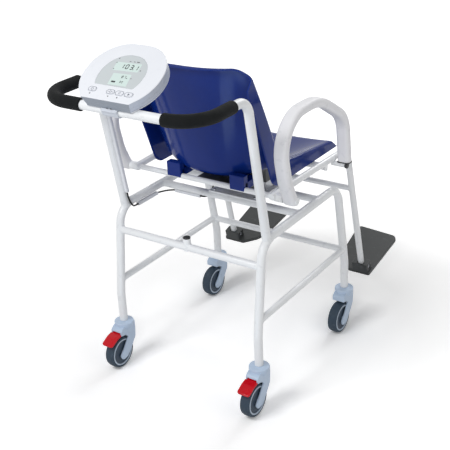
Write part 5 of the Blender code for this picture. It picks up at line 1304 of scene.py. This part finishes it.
face = FACE_HEIGHT
split = face - TOP_T
under = split - BOTTOM_T
lean = DRAFT * TOP_T / (TOP_T + BOTTOM_T)
to_head = np.linalg.inv(np.array(Matrix.Translation((0, SHIFT_Y, 0)) @ HEAD_PLACE))
# The upper cover's white, which the lower cover's rim also takes as a painted highlight.
head_white = finish("head_white", linear(232, 235, 241), 0.34, grain=1500, depth=0.00003,
                    mottle=0.015, wear=linear(214, 217, 224), worn=0.15)
# The lower cover's grey, which the upper cover's walls also take as painted shade.
head_grey_and_side_shade = finish("head_grey_with_painted_side_shade", linear(190, 197, 211), 0.38, grain=1500, depth=0.00003,
                   mottle=0.02)
head_chin = finish("head_chin_grey", linear(138, 146, 158), 0.42, grain=1500, depth=0.00004,
                   mottle=0.03)
roll = [(face - HEAD_EDGE * (1 - math.sin(a)), HEAD_EDGE * (1 - math.cos(a)))
        for a in np.linspace(0, math.pi / 2, 8)[::-1]]
top = carved(cover([*[(height, inset, inset) for height, inset in roll], (split, lean, 0)]),
             slab(mirrored(HEAD_SHARES, COVER_WALL + lean), split - 0.004, face - FACE_WALL),
             slab(mirrored(WINDOW_SHARES, -GAP), split, face + 0.004),
             *[placed(slab(key_plan(GAP), split, face + 0.004),
                      Matrix.Translation((KEY_PITCH * pitches, KEY_Y + FACE_SHIFT, 0)))
               for name, pitches in KEY_SHARES])
top_cover = piece("head_top_cover", on_head(top), head_white, "display",
                  ["display_top_cover"], sharp=40, even=True)
FRONT_Y = HEAD_W * HEAD_SHARES[0][1] + FACE_SHIFT


def on_chin(normals, middles):
    """True for the faces of the flat front wall."""
    return (normals[:, 1] < -CHIN_NORMAL) & (np.abs(middles[:, 1] - FRONT_Y) < CHIN_NEAR)


def walls_with_painted_shade(normals, middles):
    """White above the rolled edge, side grey below it as painted shade, and chin grey on the front
    wall.
    """
    shaded_walls = (np.abs(normals[:, 2]) < WALL_NORMAL) & (middles[:, 2] < face - HEAD_EDGE * 0.9)
    return shaded_walls.astype(int) + (shaded_walls & on_chin(normals, middles)).astype(int)


# The upper cover's walls below the rolled edge take the grey as painted shade.
share_out(top_cover, (head_grey_and_side_shade, head_chin), walls_with_painted_shade)

battery_low = (-BATTERY_HALF_W, FRAME_TUBE + SADDLE_WALL + FACE_SHIFT, under + COVER_WALL)
battery_high = (BATTERY_HALF_W, battery_low[1] + BATTERY_L, split)
rim_top = under + RIM_DEPTH
rim_lean = DRAFT * (face - rim_top) / (TOP_T + BOTTOM_T)
hull = [(split - GAP, lean, 0), (rim_top, rim_lean, 0),
        (rim_top - 0.0003, rim_lean - RIM_PROUD, 0),
        (under + 0.0008, DRAFT - RIM_PROUD, 0), (under + 0.0002, DRAFT - RIM_PROUD + 0.0004, 0),
        (under, DRAFT - RIM_PROUD + 0.0012, 0.0006)]
channel_r, channel_reach = (GRIP_D + RUNNING) / 2, SADDLE_W / 2 + RUNNING
bottom = carved(cover(hull),
                drum(channel_r, -channel_reach, channel_reach),
                block(np.array(battery_low) - GAP, np.array(battery_high) + (GAP, GAP, 0.004)))
lower_cover = piece("head_lower_cover", on_head(bottom), head_grey_and_side_shade, "display",
                    ["display_bottom_cover"], sharp=30, even=True)


def on_lower(normals, middles):
    """Side grey, with a white painted highlight on the rim round the underside and chin grey on the
    front wall.
    """
    outer = np.abs(normals[:, 2]) < RIM_NORMAL
    rim = outer & (middles[:, 2] < rim_top) & (middles[:, 1] > FRONT_Y + CHIN_NEAR)
    rim &= np.abs(middles[:, 0]) > channel_reach + CHIN_NEAR
    return np.where(outer & on_chin(normals, middles), 2, np.where(rim, 1, 0))


# The rim round the lower cover's underside takes the white as a painted highlight.
share_out(lower_cover, (head_white, head_chin), on_lower)
cover_screw = bent([((0.0030, 0.0006), 0), ((0.0030, -0.0006), 0.0005), ((0.0012, -0.0008), 0),
                    ((ON_AXIS, -0.0002), 0)])
piece("head_cover_screws",
      on_head(*[turned(cover_screw, (x, y, under), (0, 0, 1), 24)
                for x in (-COVER_SCREW_X, COVER_SCREW_X) for y in COVER_SCREW_YS]),
      zinc, "display")
dress("display_board", finish("board_green", linear(38, 112, 74), 0.40, grain=300,
                              depth=0.00002, mottle=0.08))
dress("battery_pack", finish("battery_sleeve", linear(38, 70, 138), 0.35, coat=0.2, grain=700,
                             depth=0.00003, mottle=0.06))

# Behind the window lies a light grey printed film with two liquid crystal panels. The upper
# shows the weight in large figures, the lower one smaller figures, with small marks round them.
WINDOW_T = 0.0022
PRINT_T = 0.00012
window_grey = finish("window_film_grey", linear(196, 203, 206), 0.20, coat=0.3, grain=900,
                     depth=0.00001, mottle=0.02)
lcd_pale = finish("lcd_pale_green", linear(208, 226, 222), 0.20, coat=0.3, grain=900,
                  depth=0.00001, mottle=0.02)
print_dark = finish("print_dark", linear(30, 34, 40), 0.35, grain=900, depth=0.00001,
                    mottle=0.05)
print_grey = finish("print_grey", linear(104, 110, 122), 0.40, grain=900, depth=0.00001,
                    mottle=0.05)


def on_face(outline, level, thickness=PRINT_T):
    """A thin print on the head, at a height above the handlebar's axis."""
    return placed(slab(np.asarray(outline, float), level, level + thickness), HEAD_PLACE)


pane = face - 0.0001
piece("display_pane", on_head(slab(mirrored(WINDOW_SHARES), face - WINDOW_T, pane, 0.0003, 3)),
      window_grey, "display", ["display_window"], even=True)
LCD_CORNER = 0.0012
LCD_UPPER = ((-0.0355, 0.0850), (0.0395, 0.0885), (0.0378, 0.1150), (-0.0385, 0.1125))
LCD_LOWER = ((-0.0215, 0.0398), (0.0345, 0.0408), (0.0285, 0.0788), (-0.0255, 0.0765))
piece("lcd_panels", [on_face(closed([(point, LCD_CORNER) for point in panel], 4),
                             pane - PRINT_T / 2) for panel in (LCD_UPPER, LCD_LOWER)],
      lcd_pale, "display")

# Which of the seven bars each figure lights: top, upper right, lower right, bottom, lower
# left, upper left and middle. The bars' ends are given in shares of a figure's box.
FIGURES = {"0": (0, 1, 2, 3, 4, 5), "1": (1, 2), "3": (0, 1, 2, 3, 6), "7": (0, 1, 2),
           "8": (0, 1, 2, 3, 4, 5, 6)}
BAR_ENDS = (((0, 1), (1, 1)), ((1, 1), (1, 0.5)), ((1, 0.5), (1, 0)), ((0, 0), (1, 0)),
            ((0, 0.5), (0, 0)), ((0, 1), (0, 0.5)), ((0, 0.5), (1, 0.5)))
FIGURE_WIDTH = 0.62
FIGURE_PITCH = 0.92
BAR_THICK = 0.16
BAR_GAP, BAR_POINT = 0.1, 0.4       # shares of the thickness


def figures(text, left, low, height, level):
    """Seven-bar figures: each bar is a strip between two of a figure's six corners, with
    pointed ends. A point takes no room of its own."""
    thick, made = height * BAR_THICK, []
    for figure in text:
        if figure == ".":
            spot = rounded_box(thick, thick, thick / 4, 3)
            made.append(spot + (left - height * (FIGURE_PITCH - FIGURE_WIDTH) / 2,
                                low + thick / 2))
            continue
        for bar_at in FIGURES[figure]:
            a, b = (np.array(end) * (height * FIGURE_WIDTH - thick, height - thick)
                    + (left + thick / 2, low + thick / 2) for end in BAR_ENDS[bar_at])
            way = unit(b - a)
            aside = np.array((-way[1], way[0])) * thick / 2
            a, b = a + way * thick * BAR_GAP, b - way * thick * BAR_GAP
            point = way * thick * BAR_POINT
            made.append(np.array([a, a + point - aside, b - point - aside, b,
                                  b - point + aside, a + point + aside]))
        left += height * FIGURE_PITCH
    return [on_face(outline, level) for outline in made]


NUMBERS = (("103.1", -0.0186, 0.0935, 0.0155),        # left, foot and height
           ("87", 0.0045, 0.0642, 0.0085), ("30", 0.0075, 0.0488, 0.0068))
BARS = ((-0.0100, 0.0500, 0.0125, 0.0050), (0.0215, 0.0655, 0.0030, 0.0022),
        (0.0229, 0.1197, 0.0085, 0.0020), (0.0120, 0.1193, 0.0050, 0.0016),
        (-0.0010, 0.1190, 0.0050, 0.0014))            # middle, width and height
ARROWS = ((-0.0381, 0.1243), (-0.0375, 0.1106), (-0.0348, 0.0897), (0.0445, 0.0949),
          (0.0338, 0.0672))
ARROW = np.array([(-0.0019, -0.0015), (0.0019, -0.0015), (0, 0.0019)])
lcd_top = pane + PRINT_T / 2
marks = [mark for number in NUMBERS for mark in figures(*number, lcd_top)]
marks += [on_face(rounded_box(wide, high, high / 4, 3) + (x, y), lcd_top)
          for x, y, wide, high in BARS]
marks += [on_face(ARROW + arrow_at, lcd_top) for arrow_at in ARROWS]
piece("lcd_figures", marks, print_dark, "display")

# Four oval keys stand just proud of the face, each with a printed ring and a plain sign, and
# three small lamps lie below the first three. Each key sinks into its own hole.
KEY_PROUD = 0.0015
KEY_TRAVEL = 0.0010
RING_INSET = 0.0006
RING_WIDTH = 0.0010
RING_SUNK = 0.0003
LAMP_Y = 0.0043
key_cap = finish("key_cap", linear(228, 231, 238), 0.36, grain=1500, depth=0.00003, mottle=0.02,
                 wear=linear(206, 209, 217), worn=0.15)


def stroke(points, width_of):
    """A line of a given width through points: the points moved out to one side by half the
    width, then back along the other side."""
    points = np.asarray(points, float)
    way = unit(np.gradient(points, axis=0))
    aside = np.stack([-way[:, 1], way[:, 0]], 1) * width_of / 2
    return np.concatenate([points - aside, (points + aside)[::-1]])


def arc(radius, start, end, count=20):
    """Points of an arc between two angles in degrees."""
    angle = np.radians(np.linspace(start, end, count))
    return np.stack([np.cos(angle), np.sin(angle)], 1) * radius


PEN = 0.0012
SIGNS = {
    "power": [stroke(arc(0.0033, 120, 420), PEN), stroke([(0, 0.0010), (0, 0.0044)], PEN)],
    "zero": [stroke(arc(0.0026, 0, 350), PEN), stroke([(-0.0078, 0), (-0.0042, 0)], PEN),
             stroke([(0.0042, 0), (0.0078, 0)], PEN)],
    "hold": [stroke([(-0.0018, -0.0034), (-0.0018, 0.0034)], PEN),
             stroke([(0.0018, -0.0034), (0.0018, 0.0034)], PEN)],
    "mode": [np.array([(-0.0026, -0.0036), (0.0036, 0.0), (-0.0026, 0.0036)])],
}
for name, pitches in KEY_SHARES:
    key_at = np.array((KEY_PITCH * pitches, KEY_Y + FACE_SHIFT))
    top_level = face + KEY_PROUD
    cap_shape = slab(key_plan() + key_at, face - 2 * FACE_WALL - KEY_TRAVEL, top_level,
                     0.0007, 5)
    piece("key_cap_" + name, on_head(cap_shape), key_cap, "button_" + name,
          ["key_" + name], sharp=40, even=True)
    plan = drawn_in(key_plan(), RING_INSET)
    outer_ring = np.insert(plan + key_at, 2, top_level - RING_SUNK, axis=1)
    inner_ring = np.insert(drawn_in(plan, RING_WIDTH) + key_at, 2, top_level - RING_SUNK, axis=1)
    lift = np.array((0, 0, RING_SUNK + PRINT_T))
    band = skin(np.stack([inner_ring, outer_ring, outer_ring + lift, inner_ring + lift]), True)
    piece("key_print_" + name,
          [*on_head(band),
           *[on_face(outline + key_at, top_level - PRINT_T / 2) for outline in SIGNS[name]]],
          print_grey, "button_" + name)
lamp = bent([((ON_AXIS, -0.0006), 0), ((0.0019, -0.0006), 0), ((0.0019, 0.0002), 0.0003),
             ((ON_AXIS, 0.0005), 0)])
piece("key_lamps", on_head(*[turned(lamp, (KEY_PITCH * pitches, LAMP_Y, face), (0, 0, 1), 20)
                             for name, pitches in KEY_SHARES[:3]]), print_dark, "display")

# A pale grey moulded bracket clamps the head to the handlebar: a sleeve round the bar with a
# wing screwed up into the lower cover. Two small dark screws show at the foot of the chin.
bar = FRAME_TUBE / 2
saddle_r = bar + SADDLE_WALL
CHIN_SCREW_XS = (-0.005, 0.007)
CHIN_SCREW_Z = 0.0165
BRACKET_SCREW_X = 0.016
BRACKET_SCREW_Y = 0.040
sleeve_profile = closed([((bar + GAP, -SADDLE_W / 2), 0.0004), ((saddle_r, -SADDLE_W / 2), 0.0012),
                         ((saddle_r, SADDLE_W / 2), 0.0012), ((bar + GAP, SADDLE_W / 2), 0.0004)])
wing_top = under - GAP
wing_middle = (SADDLE_W - saddle_r) / 2
wing = carved(slab(rounded_box(SADDLE_W, SADDLE_W + saddle_r, 0.004) + (0, wing_middle),
                   wing_top - SADDLE_WALL, wing_top, 0.0008, 4),
              drum(bar + GAP, -SADDLE_W, SADDLE_W, sides=48))
bracket_grey = finish("bracket_grey", linear(206, 211, 220), 0.42, grain=1300, depth=0.00006,
                      mottle=0.04)
piece("head_bracket",
      on_head(turned(sleeve_profile, (0, 0, 0), (1, 0, 0), 64, wrap=True), wing), bracket_grey,
      "display", ["display_bracket"], sharp=40)
piece("bracket_screws",
      on_head(*[bolt((x, BRACKET_SCREW_Y, wing_top - SADDLE_WALL), (0, 0, -1), 0.0062, 0.0018)
                for x in (-BRACKET_SCREW_X, BRACKET_SCREW_X)]), zinc, "display")
piece("chin_screws",
      on_head(*[bolt((x, FRONT_Y, CHIN_SCREW_Z), (0, -1, 0), 0.0036, 0.0010)
                for x in CHIN_SCREW_XS]), black_coat, "display")

bpy.context.view_layer.update()
